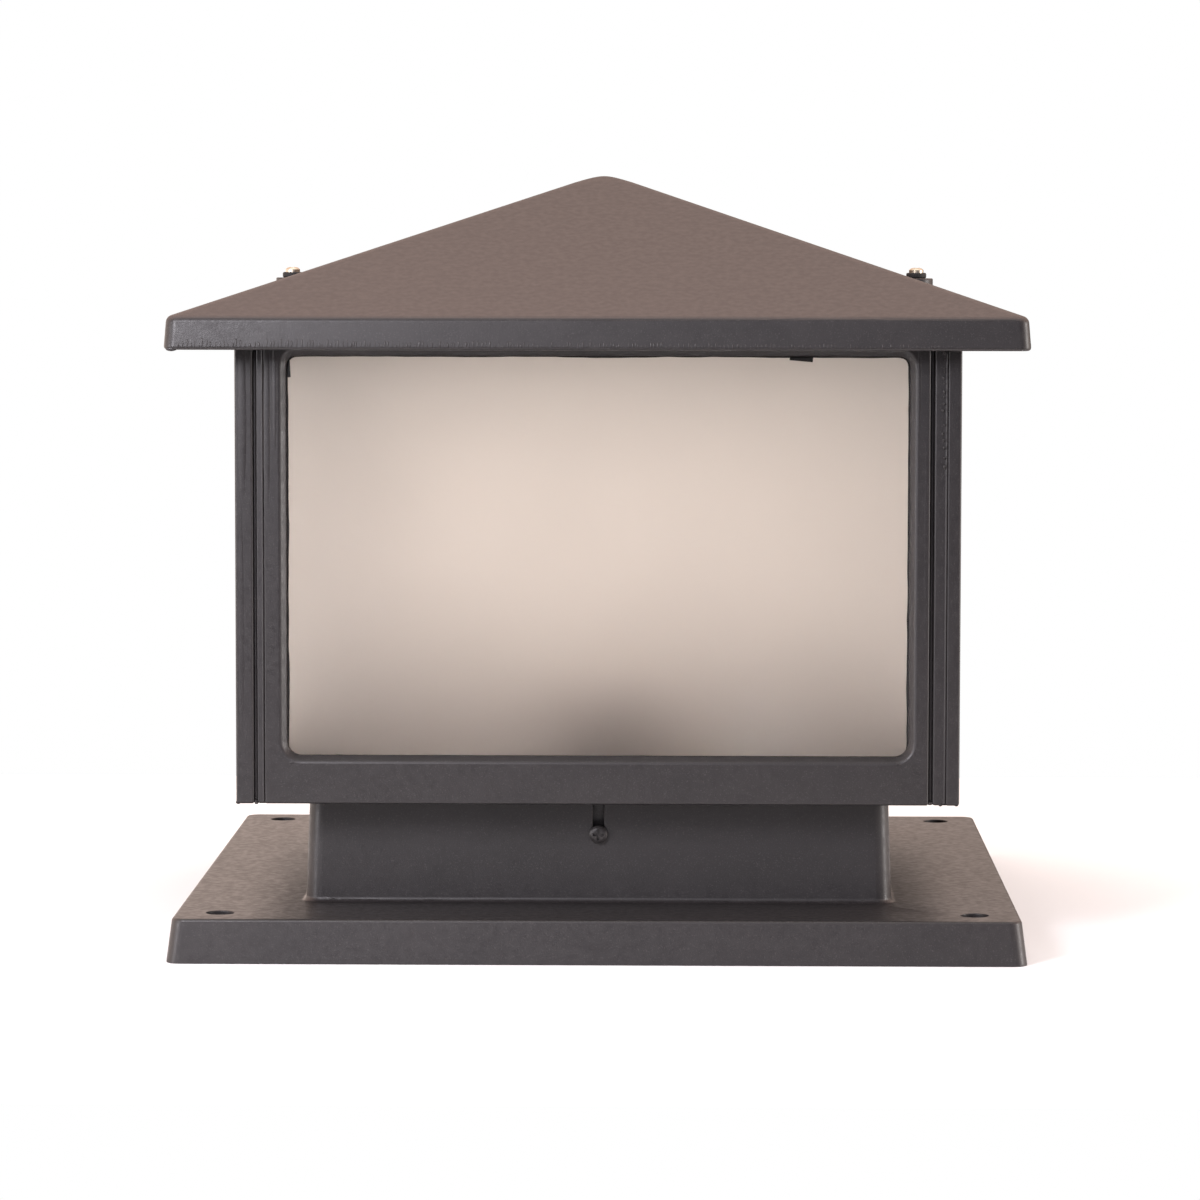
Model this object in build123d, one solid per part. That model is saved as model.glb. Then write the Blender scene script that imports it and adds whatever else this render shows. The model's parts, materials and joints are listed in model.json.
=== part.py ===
from build123d import *

import os
from math import atan, degrees, hypot, pi, radians, tan

# Pillar light: a square cast lantern on a pedestal, closed by a lift-off pyramid roof.
# Millimetres, +Z up, origin in the middle of the pedestal's underside, front towards -Y.

# Pedestal: base plate, skirt and neck in one casting
base_width = 300.0
base_height = 15.7
base_wall = 4.0
base_corner_radius = 5.0
base_edge_round = 1.2
skirt_flare = 2.0
anchor_spacing = 268.0
anchor_hole_d = 10.0
anchor_boss_d = 20.0
neck_setback = 22.7
neck_height = 40.0
neck_draft = 1.4
neck_wall = 4.0
neck_corner_radius = 6.0
neck_foot_fillet = 2.0

# Screws that hold the lantern in the neck, in slots open at the neck's top edge
neck_screw_drop = 15.1
neck_screw_d = 3.5
neck_screw_head_d = 6.5
neck_screw_head_h = 2.2
neck_screw_head_gap = 0.15

# Lantern floor and the spigot under it
floor_thickness = 3.0
floor_clearance = 0.3
spigot_depth = 25.0
spigot_wall = 3.0
spigot_clearance = 0.4
spigot_boss_d = 11.0
spigot_boss_length = 6.0

# Lantern frames
body_width = 257.4
body_height = 170.6
frame_drop = 1.6
frame_depth = 9.6
corner_strip = 6.45
lap_gap = 1.0
butt_gap = 1.4
edge_step = 0.8
lap_step_width = 2.65
butt_step_width = 4.6
joint_flange_thickness = 4.0
joint_flange_gap = 0.5
joint_flange_lift = 2.0
joint_flange_nose = 4.7
joint_flange_root = 1.0
joint_head_gap = 0.2
joint_screw_end_distance = 22.0
joint_screw_length = 10.0
floor_lug_offset = 85.0
floor_lug_width = 20.0
floor_lug_reach = 13.0
floor_lug_height = 8.0
floor_screw_length = 9.0

# Window in each frame, and what is glazed into it
window_margin = 18.3
window_sill = 17.3
window_head = 11.2
window_top_radius = 3.5
window_bottom_radius = 5.0
bevel_width = 2.3
bevel_depth = 2.5
lip_depth = 3.6
pane_thickness = 4.0
pane_overlap = 3.0
pane_clearance = 0.4
seal_proud = 0.4
seal_tail_offset = 72.0
seal_tail_width = 8.2
seal_tail_short = 1.2
seal_tail_long = 1.9
clip_width = 14.0
clip_thickness = 1.5
clip_on_rail = 5.6
clip_setback = 0.3
clip_top_offset = 72.0
clip_bottom_offset = 52.0
clip_screw_inset = 2.8
clip_screw_length = 7.0

# Roof
roof_width = 301.4
roof_flare = 0.9
fascia_height = 11.5
roof_rise = 51.7
roof_overlap = 8.5
roof_wall = 3.5
roof_corner_radius = 4.0
roof_tip_width = 7.0
roof_tip_radius = 3.0
roof_tip_round = 6.0
eave_round = 2.6
fascia_foot_round = 1.2
roof_gasket_thickness = 2.0
roof_seat_inset = 0.4
roof_screw_inset = 10.4
roof_boss_d = 12.6
roof_boss_rise = 0.8
roof_lug_d = 12.0
roof_lug_gap = 0.8
roof_screw_d = 3.0
roof_screw_head_d = 5.5
roof_screw_head_h = 1.9
roof_washer_d = 7.6
roof_washer_thickness = 2.1

# Lamp holder and the strap it stands on, which hangs in a well in the floor
bracket_width = 22.0
bracket_drop = 16.0
bracket_foot = 16.0
bracket_side_gap = 1.0
bracket_well_gap = 0.8
bracket_sheet = 2.0
bracket_screw_length = 8.0
holder_base_d = 44.0
holder_base_height = 11.0
holder_neck_d = 42.0
holder_height = 43.0
holder_seat = 13.0
holder_edge_round = 1.5
holder_screw_offset = 12.0
holder_screw_length = 9.0
socket_d = 26.8
socket_wall = 1.1
socket_depth = 26.0
socket_floor_hole = 14.0
socket_clearance = 0.15
contact_d = 9.0
contact_height = 4.0
contact_below_shell_floor = 0.1
contact_round = 1.0

# Wiring inside the lantern
block_to_grommet = 23.0
block_width = 18.0
block_height = 13.0
block_pitch = 10.0
block_end = 6.0
block_hole_d = 2.8
block_hole_depth = 4.0
block_hole_height = 6.5
clamp_screw_d = 4.0
clamp_screw_length = 3.2
clamp_screw_sunk = 0.6
clamp_screw_inset = 4.5
clamp_slot_width = 0.8
clamp_slot_depth = 0.9
block_screw_length = 17.0
wire_d = 2.2
holder_entry_rise = 12.0
holder_entry_depth = 3.5
neutral_entry_offset = 8.0
wire_straight = 9.0
wire_rise_run = 10.0
earth_x = 34.0
earth_y = -41.0
earth_ring_d = 9.0
earth_tag_sheet = 1.0
earth_barrel_d = 4.2
earth_barrel_sunk = 0.4
earth_barrel_length = 6.0
earth_barrel_start = 5.0
earth_screw_length = 8.0
grommet_wall_gap = 3.2
grommet_flange_d = 18.0
grommet_flange = 2.0
grommet_body_d = 12.8
grommet_bore_d = 8.5

# Small pan-head screws used inside, and the cross recess of every head
small_screw_d = 3.0
small_screw_head_d = 5.4
small_screw_head_h = 1.9
recess_width = 1.0
recess_depth = 1.2
recess_margin = 1.1
head_round = 0.9

# Clearances: a fit inside one assembly, round a wire, and round anything that lifts away
fit_clearance = 0.05
wire_clearance = 0.1
lift_clearance = 0.35

# Least corner radius inside a casting, and how closely edges are picked for rounding
least_inner_radius = 1.0
pick_margin = 0.1
level_tolerance = 0.001

# Share of the shorter run that each bend of a wire takes up
bend_share = 0.45

# Levels and places that follow from the sizes above
neck_width = body_width - 2 * neck_setback
neck_top = base_height + neck_height
neck_screw_z = neck_top - neck_screw_drop
floor_bottom = neck_top
floor_top = floor_bottom + floor_thickness
frame_bottom = floor_bottom - frame_drop
frame_top = frame_bottom + body_height
body_half = body_width / 2
inner_half = body_half - frame_depth
lap_end = body_half - corner_strip - lap_gap
butt_end = inner_half - butt_gap
floor_half = inner_half - floor_clearance
spigot_outer = neck_width / 2 - neck_draft - neck_wall - spigot_clearance
spigot_inner = spigot_outer - spigot_wall

window_width = body_width - 2 * window_margin
window_bottom = frame_bottom + window_sill
window_top = frame_top - window_head
window_height = window_top - window_bottom
window_middle = (window_top + window_bottom) / 2
pane_half = window_width / 2 + pane_overlap
pane_bottom = window_bottom - pane_overlap
pane_top = window_top + pane_overlap
seal_thickness = frame_depth - lip_depth - pane_thickness
joint_screw_x = inner_half - small_screw_head_d / 2 - joint_head_gap
joint_screw_levels = (floor_top + joint_screw_end_distance, frame_top - joint_screw_end_distance)
floor_lug_spots = (-floor_lug_offset, floor_lug_offset)
floor_screw_in = inner_half - floor_lug_reach / 2

clip_spots = []
for clip_x in (-clip_bottom_offset, clip_bottom_offset):
    clip_low = pane_bottom - clip_on_rail
    clip_high = window_bottom - clip_setback
    clip_spots.append((clip_x, clip_low, clip_high, pane_bottom - clip_screw_inset))
for clip_x in (-clip_top_offset, clip_top_offset):
    clip_low = window_top + clip_setback
    clip_high = pane_top + clip_on_rail
    clip_spots.append((clip_x, clip_low, clip_high, pane_top + clip_screw_inset))

roof_half = roof_width / 2
roof_slope = roof_rise / roof_half
fascia_bottom = frame_top - roof_overlap
eave_z = fascia_bottom + fascia_height
roof_tip_z = eave_z + roof_slope * (roof_half - roof_tip_width / 2)
roof_skin = roof_wall * hypot(1, roof_slope)
roof_seat_z = frame_top + roof_gasket_thickness
roof_seat_outer = body_half - roof_seat_inset
roof_seat_inner = inner_half + roof_seat_inset
roof_screw_x = body_half - roof_screw_inset
roof_boss_top = eave_z + roof_slope * (roof_half - roof_screw_x) + roof_boss_rise
roof_lug_bottom = pane_top + pane_clearance + roof_lug_gap
roof_screw_length = roof_boss_top + roof_washer_thickness - roof_lug_bottom

strap_top = floor_top - bracket_drop
bracket_length = holder_base_d + 2 * (bracket_side_gap + bracket_sheet)
bracket_screw_x = bracket_length / 2 + bracket_foot / 2
well_d = hypot(bracket_length, bracket_width) + 2 * bracket_well_gap
holder_top = strap_top + holder_height
socket_bottom = strap_top + holder_seat
contact_top = socket_bottom + socket_wall - contact_below_shell_floor
contact_bottom = contact_top - contact_height
holder_entry_z = floor_top + holder_entry_rise
holder_entry_x = holder_neck_d / 2 - holder_entry_depth
grommet_x = spigot_inner - grommet_flange_d / 2 - grommet_wall_gap
block_centre_x = grommet_x - block_to_grommet
block_inner_x = block_centre_x - block_width / 2
block_half_length = block_pitch + block_end
block_top = floor_top + block_height
wire_z = floor_top + block_hole_height
earth_wire_z = floor_top + earth_tag_sheet + earth_barrel_d / 2 - earth_barrel_sunk
block_screw_spots = [(block_centre_x, -block_pitch / 2), (block_centre_x, block_pitch / 2)]


def block(x0, x1, y0, y1, z0, z1):
    return Pos((x0 + x1) / 2, (y0 + y1) / 2, (z0 + z1) / 2) * Box(x1 - x0, y1 - y0, z1 - z0)


def rod(diameter, x, y, z0, z1):
    return Pos(x, y, (z0 + z1) / 2) * Cylinder(diameter / 2, z1 - z0)


def rod_along_y(diameter, x, z, y0, y1):
    return Pos(x, (y0 + y1) / 2, z) * Rot(90, 0, 0) * Cylinder(diameter / 2, y1 - y0)


def rod_along_x(diameter, y, z, x0, x1):
    return Pos((x0 + x1) / 2, y, z) * Rot(0, 90, 0) * Cylinder(diameter / 2, x1 - x0)


def square_taper(width0, width1, radius0, radius1, z0, z1):
    lower = Pos(0, 0, z0) * RectangleRounded(width0, width0, radius0)
    upper = Pos(0, 0, z1) * RectangleRounded(width1, width1, radius1)
    return loft([lower, upper], ruled=True)


def square_ring(outer_half, inner_half_width, z0, z1):
    outer = block(-outer_half, outer_half, -outer_half, outer_half, z0, z1)
    return outer - block(-inner_half_width, inner_half_width, -inner_half_width, inner_half_width, z0, z1)


def edges_at_level(solid, level, nearest, farthest):
    # edges lying in one level plane, chosen by how far out their middle is
    chosen = []
    for edge in solid.edges():
        box = edge.bounding_box()
        middle = edge.center(CenterOf.BOUNDING_BOX)
        reach = max(abs(middle.X), abs(middle.Y))
        flat = max(abs(box.min.Z - level), abs(box.max.Z - level)) < level_tolerance
        if flat and nearest < reach < farthest:
            chosen.append(edge)
    return chosen


def pan_screw(shank_d, head_d, head_h, length):
    # the head's underside is at zero, the shank points down
    head = rod(head_d, 0, 0, 0, head_h)
    rim = head.edges().group_by(Axis.Z)[-1]
    head = fillet(rim, head_round)
    half_length = head_d / 2 - recess_margin
    half_width = recess_width / 2
    for turn in (0, 90):
        slot = block(-half_length, half_length, -half_width, half_width, head_h - recess_depth, head_h)
        head -= Rot(0, 0, turn) * slot
    return head + rod(shank_d, 0, 0, -length, 0)


def small_screw(length):
    return pan_screw(small_screw_d, small_screw_head_d, small_screw_head_h, length)


def screw_hole_d(shank_d):
    return shank_d + 2 * fit_clearance


def neck_outer_half(z):
    return neck_width / 2 - neck_draft * (z - base_height) / neck_height


def skirt_outer_width(z):
    return base_width + 2 * skirt_flare * (base_height - z) / base_height


def inner_radius(radius, wall):
    return max(radius - wall, least_inner_radius)


def on_four_sides(piece):
    return [Rot(0, 0, 90 * side) * piece for side in range(4)]


# Pedestal

def make_pedestal():
    plate_under = base_height - base_wall
    corner = base_corner_radius
    casting = square_taper(skirt_outer_width(0), base_width, corner, corner, 0, base_height)
    neck_tip = 2 * neck_outer_half(neck_top)
    corner = neck_corner_radius
    casting += square_taper(neck_width, neck_tip, corner, corner, base_height, neck_top)
    casting = fillet(edges_at_level(casting, base_height, 0, neck_width / 2 + pick_margin), neck_foot_fillet)
    rim_start = base_width / 2 - base_corner_radius - pick_margin
    casting = fillet(edges_at_level(casting, base_height, rim_start, base_width), base_edge_round)

    # hollow under the plate and up through the neck
    hollow_low = skirt_outer_width(0) - 2 * base_wall
    hollow_high = skirt_outer_width(plate_under) - 2 * base_wall
    hollow_radius = inner_radius(base_corner_radius, base_wall)
    casting -= square_taper(hollow_low, hollow_high, hollow_radius, hollow_radius, 0, plate_under)
    bore_low = 2 * (neck_outer_half(plate_under) - neck_wall)
    bore_high = 2 * (neck_outer_half(neck_top) - neck_wall)
    bore_radius = inner_radius(neck_corner_radius, neck_wall)
    casting -= square_taper(bore_low, bore_high, bore_radius, bore_radius, plate_under, neck_top)

    half_spacing = anchor_spacing / 2
    for x in (-half_spacing, half_spacing):
        for y in (-half_spacing, half_spacing):
            casting += rod(anchor_boss_d, x, y, 0, plate_under)
            casting -= rod(anchor_hole_d, x, y, 0, base_height)

    # slots open at the top, front and back
    slot_d = neck_screw_d + 2 * lift_clearance
    slot_inner = neck_outer_half(neck_top) - neck_wall
    slot_outer = neck_outer_half(base_height)
    slot = block(-slot_d / 2, slot_d / 2, -slot_outer, -slot_inner + neck_draft, neck_screw_z, neck_top)
    slot += rod_along_y(slot_d, 0, neck_screw_z, -slot_outer, -slot_inner + neck_draft)
    for turn in (0, 180):
        casting -= Rot(0, 0, turn) * slot
    return casting


# Lantern floor

def make_floor():
    floor = block(-floor_half, floor_half, -floor_half, floor_half, floor_bottom, floor_top)
    outer = spigot_outer
    inner = spigot_inner
    spigot_floor = floor_bottom - spigot_depth
    corner = inner_radius(neck_corner_radius, neck_wall) + spigot_clearance
    ring = square_taper(2 * outer, 2 * outer, corner, corner, spigot_floor, floor_bottom)
    ring -= block(-inner, inner, -inner, inner, spigot_floor, floor_bottom)
    floor += ring

    boss = rod_along_y(spigot_boss_d, 0, neck_screw_z, -inner - spigot_wall / 2, -inner + spigot_boss_length)
    bore = rod_along_y(screw_hole_d(neck_screw_d), 0, neck_screw_z, -outer, -inner + spigot_boss_length)
    for turn in (0, 180):
        floor += Rot(0, 0, turn) * boss
        floor -= Rot(0, 0, turn) * bore

    hole_d = screw_hole_d(small_screw_d)
    for x in floor_lug_spots:
        for hole in on_four_sides(rod(hole_d, x, -floor_screw_in, floor_bottom, floor_top)):
            floor -= hole
    inside_spots = [(-bracket_screw_x, 0), (bracket_screw_x, 0), (earth_x, earth_y)] + block_screw_spots
    for x, y in inside_spots:
        floor -= rod(hole_d, x, y, floor_bottom, floor_top)
    floor -= rod(well_d, 0, 0, floor_bottom, floor_top)
    floor -= rod(grommet_body_d + 2 * fit_clearance, grommet_x, 0, floor_bottom, floor_top)
    return floor


# Frames, drawn as the front one and turned into place

def window_face(grow, depth):
    outline = Rectangle(window_width + 2 * grow, window_height + 2 * grow)
    outline = fillet(outline.vertices().sort_by(Axis.Y)[:2], window_bottom_radius + grow)
    outline = fillet(outline.vertices().sort_by(Axis.Y)[-2:], window_top_radius + grow)
    place = Plane(origin=(0, -body_half + depth, window_middle), x_dir=(-1, 0, 0), z_dir=(0, 1, 0))
    return place * outline


def pane_block(grow, depth0, depth1):
    half = pane_half + grow
    return block(-half, half, -body_half + depth0, -body_half + depth1, pane_bottom - grow, pane_top + grow)


def glazed_window():
    taper = degrees(atan(bevel_width / bevel_depth))
    cut = extrude(window_face(bevel_width, 0), bevel_depth, taper=taper)
    cut += extrude(window_face(0, 0), lip_depth)
    cut += pane_block(pane_clearance, lip_depth, frame_depth)
    return cut


def floor_lugs():
    lugs = []
    for x in floor_lug_spots:
        lug_left = x - floor_lug_width / 2
        lug_right = x + floor_lug_width / 2
        lug_back = -inner_half + floor_lug_reach
        lug = block(lug_left, lug_right, -inner_half, lug_back, floor_top, floor_top + floor_lug_height)
        screw_end = floor_bottom + floor_screw_length
        lugs.append(lug - rod(screw_hole_d(small_screw_d), x, -floor_screw_in, floor_top, screw_end))
    return lugs


def clip_screw_holes():
    holes = []
    hole_end = -inner_half + clip_thickness - clip_screw_length
    for x, low, high, screw_z in clip_spots:
        holes.append(rod_along_y(screw_hole_d(small_screw_d), x, screw_z, hole_end, -inner_half))
    return holes


def make_front_frame():
    frame = block(-lap_end, butt_end, -body_half, -inner_half, frame_bottom, frame_top)
    step_end = -lap_end + lap_step_width
    frame -= block(-lap_end, step_end, -body_half, -body_half + edge_step, frame_bottom, frame_top)

    # flanges that the corner screws pull against the side frames
    flange_bottom = floor_top + joint_flange_lift
    flange_back = -(pane_half + joint_flange_gap)
    flange_in = inner_half - joint_flange_thickness
    for side in (-1, 1):
        near, far = sorted((side * flange_in, side * inner_half))
        frame += block(near, far, -inner_half, flange_back, flange_bottom, frame_top)
    nose_front = -inner_half - joint_flange_nose
    nose_start = butt_end - joint_flange_root
    frame += block(nose_start, inner_half, nose_front, -inner_half, flange_bottom, frame_top)

    frame -= glazed_window()
    for lug in floor_lugs():
        frame += lug
    for hole in clip_screw_holes():
        frame -= hole
    for level in joint_screw_levels:
        for side in (-1, 1):
            near, far = sorted((side * flange_in, side * inner_half))
            frame -= rod_along_x(screw_hole_d(small_screw_d), -joint_screw_x, level, near, far)
    return frame


def make_side_frame():
    frame = block(-body_half, body_half, -body_half, -inner_half, frame_bottom, frame_top)
    frame -= block(inner_half, body_half, -body_half + corner_strip, -inner_half, frame_bottom, frame_top)
    step_start = -inner_half - butt_step_width
    frame -= block(-body_half, -body_half + edge_step, step_start, -inner_half, frame_bottom, frame_top)
    frame += rod(roof_lug_d, 0, -roof_screw_x, roof_lug_bottom, frame_top)

    frame -= glazed_window()
    frame -= rod(roof_screw_d + 2 * lift_clearance, 0, -roof_screw_x, roof_lug_bottom, frame_top)
    for lug in floor_lugs():
        frame += lug
    for hole in clip_screw_holes():
        frame -= hole
    hole_end = -inner_half + joint_flange_thickness - joint_screw_length
    for level in joint_screw_levels:
        for x in (-joint_screw_x, joint_screw_x):
            frame -= rod_along_y(screw_hole_d(small_screw_d), x, level, hole_end, -inner_half)
    return frame


# Glazing, drawn for the front and turned into place

def make_pane():
    return pane_block(0, frame_depth - pane_thickness, frame_depth)


def make_seal():
    seal = pane_block(0, lip_depth, lip_depth + seal_thickness)
    seal -= extrude(window_face(-seal_proud, lip_depth), seal_thickness)

    # the tail where the strip's two ends meet
    left = seal_tail_offset - seal_tail_width / 2
    right = seal_tail_offset + seal_tail_width / 2
    front = -body_half + lip_depth
    corners = [
        (left, front, window_top),
        (right, front, window_top),
        (right, front, window_top - seal_tail_long),
        (left, front, window_top - seal_tail_short),
    ]
    tail = extrude(make_face(Polyline(*corners, close=True)), seal_thickness, dir=(0, 1, 0))
    return seal + tail


def make_clips():
    clips = []
    for x, low, high, screw_z in clip_spots:
        left = x - clip_width / 2
        right = x + clip_width / 2
        clip = block(left, right, -inner_half, -inner_half + clip_thickness, low, high)
        hole = rod_along_y(screw_hole_d(small_screw_d), x, screw_z, -inner_half, -inner_half + clip_thickness)
        clips += on_four_sides(clip - hole)
    return clips


def make_clip_screws():
    screws = []
    for x, low, high, screw_z in clip_spots:
        seat = Pos(x, -inner_half + clip_thickness, screw_z) * Rot(-90, 0, 0)
        screws += on_four_sides(seat * small_screw(clip_screw_length))
    return screws


def make_joint_screws():
    screws = []
    for level in joint_screw_levels:
        for side in (-1, 1):
            head_x = side * (inner_half - joint_flange_thickness)
            seat = Pos(head_x, -joint_screw_x, level) * Rot(0, -90 * side, 0)
            screw = seat * small_screw(joint_screw_length)
            screws += [Rot(0, 0, turn) * screw for turn in (0, 180)]
    return screws


def make_floor_screws():
    screws = []
    for x in floor_lug_spots:
        seat = Pos(x, -floor_screw_in, floor_bottom) * Rot(180, 0, 0)
        screws += on_four_sides(seat * small_screw(floor_screw_length))
    return screws


def make_neck_screws():
    # the head stands just clear of the sloping wall at its lowest point
    head_y = -(neck_outer_half(neck_screw_z - neck_screw_head_d / 2) + neck_screw_head_gap)
    tip_y = spigot_boss_length - spigot_inner
    seat = Pos(0, head_y, neck_screw_z) * Rot(90, 0, 0)
    screw = seat * pan_screw(neck_screw_d, neck_screw_head_d, neck_screw_head_h, tip_y - head_y)
    return [Rot(0, 0, turn) * screw for turn in (0, 180)]


# Roof

def roof_screw_spots():
    return ((-roof_screw_x, 0), (roof_screw_x, 0))


def make_roof():
    foot_width = roof_width + 2 * roof_flare
    corner = roof_corner_radius
    fascia = square_taper(foot_width, roof_width, corner, corner, fascia_bottom, eave_z)
    pyramid = square_taper(roof_width, roof_tip_width, corner, roof_tip_radius, eave_z, roof_tip_z)
    outer = fascia + pyramid
    outer = fillet(edges_at_level(outer, roof_tip_z, 0, roof_tip_width), roof_tip_round)
    outer = fillet(edges_at_level(outer, eave_z, 0, roof_width), eave_round)
    outer = fillet(edges_at_level(outer, fascia_bottom, 0, foot_width), fascia_foot_round)

    # hollow that leaves an even wall
    hollow_foot = foot_width - 2 * roof_wall
    hollow_width = roof_width - 2 * roof_wall
    hollow_eave = eave_z + roof_slope * roof_wall - roof_skin
    hollow_tip_z = roof_tip_z - roof_skin
    corner = inner_radius(roof_corner_radius, roof_wall)
    hollow = square_taper(hollow_foot, hollow_width, corner, corner, fascia_bottom, hollow_eave)
    hollow += square_taper(hollow_width, roof_tip_width, corner, corner, hollow_eave, hollow_tip_z)
    roof = outer - hollow

    # rib that sits on the gasket, and the screw bosses, both trimmed by the roof's skin
    inside = square_ring(roof_seat_outer, roof_seat_inner, roof_seat_z, roof_tip_z) & outer
    for x, y in roof_screw_spots():
        inside += rod(roof_boss_d, x, y, roof_seat_z, roof_boss_top)
    roof += inside
    for x, y in roof_screw_spots():
        roof -= rod(roof_boss_d, x, y, roof_boss_top, roof_tip_z)
        roof -= rod(screw_hole_d(roof_screw_d), x, y, roof_seat_z, roof_boss_top)
    return roof


def make_roof_gasket():
    gasket = square_ring(roof_seat_outer, roof_seat_inner, frame_top, roof_seat_z)
    for x, y in roof_screw_spots():
        gasket -= rod(roof_screw_d + 2 * lift_clearance, x, y, frame_top, roof_seat_z)
    return gasket


def make_roof_washers():
    washers = []
    for x, y in roof_screw_spots():
        washer = rod(roof_washer_d, x, y, roof_boss_top, roof_boss_top + roof_washer_thickness)
        hole = rod(screw_hole_d(roof_screw_d), x, y, roof_boss_top, roof_boss_top + roof_washer_thickness)
        washers.append(washer - hole)
    return washers


def make_roof_screws():
    screws = []
    for x, y in roof_screw_spots():
        seat = Pos(x, y, roof_boss_top + roof_washer_thickness)
        screws.append(seat * pan_screw(roof_screw_d, roof_screw_head_d, roof_screw_head_h, roof_screw_length))
    return screws


# Lamp holder

def make_bracket():
    half_length = bracket_length / 2
    half_width = bracket_width / 2
    strap_under = strap_top - bracket_sheet
    foot_top = floor_top + bracket_sheet
    strip = block(-half_length, half_length, -half_width, half_width, strap_under, strap_top)
    for side in (-1, 1):
        near, far = sorted((side * half_length, side * (half_length - bracket_sheet)))
        strip += block(near, far, -half_width, half_width, strap_under, foot_top)
        near, far = sorted((side * half_length, side * (half_length + bracket_foot)))
        strip += block(near, far, -half_width, half_width, floor_top, foot_top)
        foot_x = side * bracket_screw_x
        strip -= rod(screw_hole_d(small_screw_d), foot_x, 0, floor_top, foot_top)
        holder_x = side * holder_screw_offset
        strip -= rod(screw_hole_d(small_screw_d), holder_x, 0, strap_under, strap_top)
    return strip


def make_bracket_screws():
    spots = (-bracket_screw_x, bracket_screw_x)
    return [Pos(x, 0, floor_top + bracket_sheet) * small_screw(bracket_screw_length) for x in spots]


def make_holder_body():
    base_top = strap_top + holder_base_height
    body = rod(holder_base_d, 0, 0, strap_top, base_top)
    body = fillet(body.edges().group_by(Axis.Z)[-1], holder_edge_round)
    upper = rod(holder_neck_d, 0, 0, strap_top, holder_top)
    body += fillet(upper.edges().group_by(Axis.Z)[-1], holder_edge_round)
    shell_d = socket_d + 2 * socket_wall + 2 * socket_clearance
    body -= rod(shell_d, 0, 0, socket_bottom, holder_top)
    body -= rod(contact_d + 2 * fit_clearance, 0, 0, contact_bottom, socket_bottom)
    entry_d = wire_d + 2 * wire_clearance
    for entry_y in (0, neutral_entry_offset):
        body -= rod_along_x(entry_d, entry_y, holder_entry_z, holder_entry_x, holder_neck_d / 2)
    for x in (-holder_screw_offset, holder_screw_offset):
        screw_end = strap_top - bracket_sheet + holder_screw_length
        body -= rod(screw_hole_d(small_screw_d), x, 0, strap_top, screw_end)
    return body


def make_holder_screws():
    seat_z = strap_top - bracket_sheet
    spots = (-holder_screw_offset, holder_screw_offset)
    return [Pos(x, 0, seat_z) * Rot(180, 0, 0) * small_screw(holder_screw_length) for x in spots]


def make_socket_shell():
    shell_top = socket_bottom + socket_wall + socket_depth
    shell = rod(socket_d + 2 * socket_wall, 0, 0, socket_bottom, shell_top)
    shell -= rod(socket_d, 0, 0, socket_bottom + socket_wall, shell_top)
    return shell - rod(socket_floor_hole, 0, 0, socket_bottom, socket_bottom + socket_wall)


def make_centre_contact():
    contact = rod(contact_d, 0, 0, contact_bottom, contact_top)
    return fillet(contact.edges().group_by(Axis.Z)[-1], contact_round)


# Wiring

def block_ways():
    return (-block_pitch, 0, block_pitch)


def make_terminal_block():
    outer_x = block_centre_x + block_width / 2
    body = block(block_inner_x, outer_x, -block_half_length, block_half_length, floor_top, block_top)
    clamp_depth = clamp_screw_length + clamp_screw_sunk
    for y in block_ways():
        body -= rod_along_x(block_hole_d, y, wire_z, block_inner_x, block_inner_x + block_hole_depth)
        body -= rod_along_x(block_hole_d, y, wire_z, outer_x - block_hole_depth, outer_x)
        for x in (block_inner_x + clamp_screw_inset, outer_x - clamp_screw_inset):
            body -= rod(clamp_screw_d + 2 * fit_clearance, x, y, block_top - clamp_depth, block_top)
    for x, y in block_screw_spots:
        body -= rod(screw_hole_d(small_screw_d), x, y, floor_top, block_top)
    return body


def make_clamp_screws():
    screws = []
    outer_x = block_centre_x + block_width / 2
    screw_top = block_top - clamp_screw_sunk
    for y in block_ways():
        for x in (block_inner_x + clamp_screw_inset, outer_x - clamp_screw_inset):
            screw = rod(clamp_screw_d, x, y, screw_top - clamp_screw_length, screw_top)
            half = clamp_screw_d / 2
            slot_y0 = y - clamp_slot_width / 2
            slot_y1 = y + clamp_slot_width / 2
            slot = block(x - half, x + half, slot_y0, slot_y1, screw_top - clamp_slot_depth, screw_top)
            screws.append(screw - slot)
    return screws


def make_block_screws():
    return [Pos(x, y, block_top) * small_screw(block_screw_length) for x, y in block_screw_spots]


def lead(points):
    # straight runs joined by arcs as large as the shorter run allows
    radii = []
    for before, corner, after in zip(points, points[1:], points[2:]):
        into = Vector(*corner) - Vector(*before)
        out = Vector(*after) - Vector(*corner)
        half_turn = radians(into.get_angle(out) / 2)
        radii.append(bend_share * min(into.length, out.length) / tan(half_turn))
    path = FilletPolyline(*points, radius=radii)
    section = Plane(origin=path @ 0, z_dir=path % 0) * Circle(wire_d / 2)
    wire = sweep(section, path)
    filled = wire.volume / (pi * wire_d**2 / 4 * path.length)
    print("lead radii", [round(radius, 1) for radius in radii])
    print("lead length", round(path.length, 1), "volume over section times length", round(filled, 4))
    return wire


def holder_lead(block_y, holder_y):
    start_x = block_inner_x + block_hole_depth
    bend_x = block_inner_x - wire_straight
    points = [
        (start_x, block_y, wire_z),
        (bend_x, block_y, wire_z),
        (bend_x - wire_rise_run, holder_y, holder_entry_z),
        (holder_entry_x, holder_y, holder_entry_z),
    ]
    return lead(points)


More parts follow.
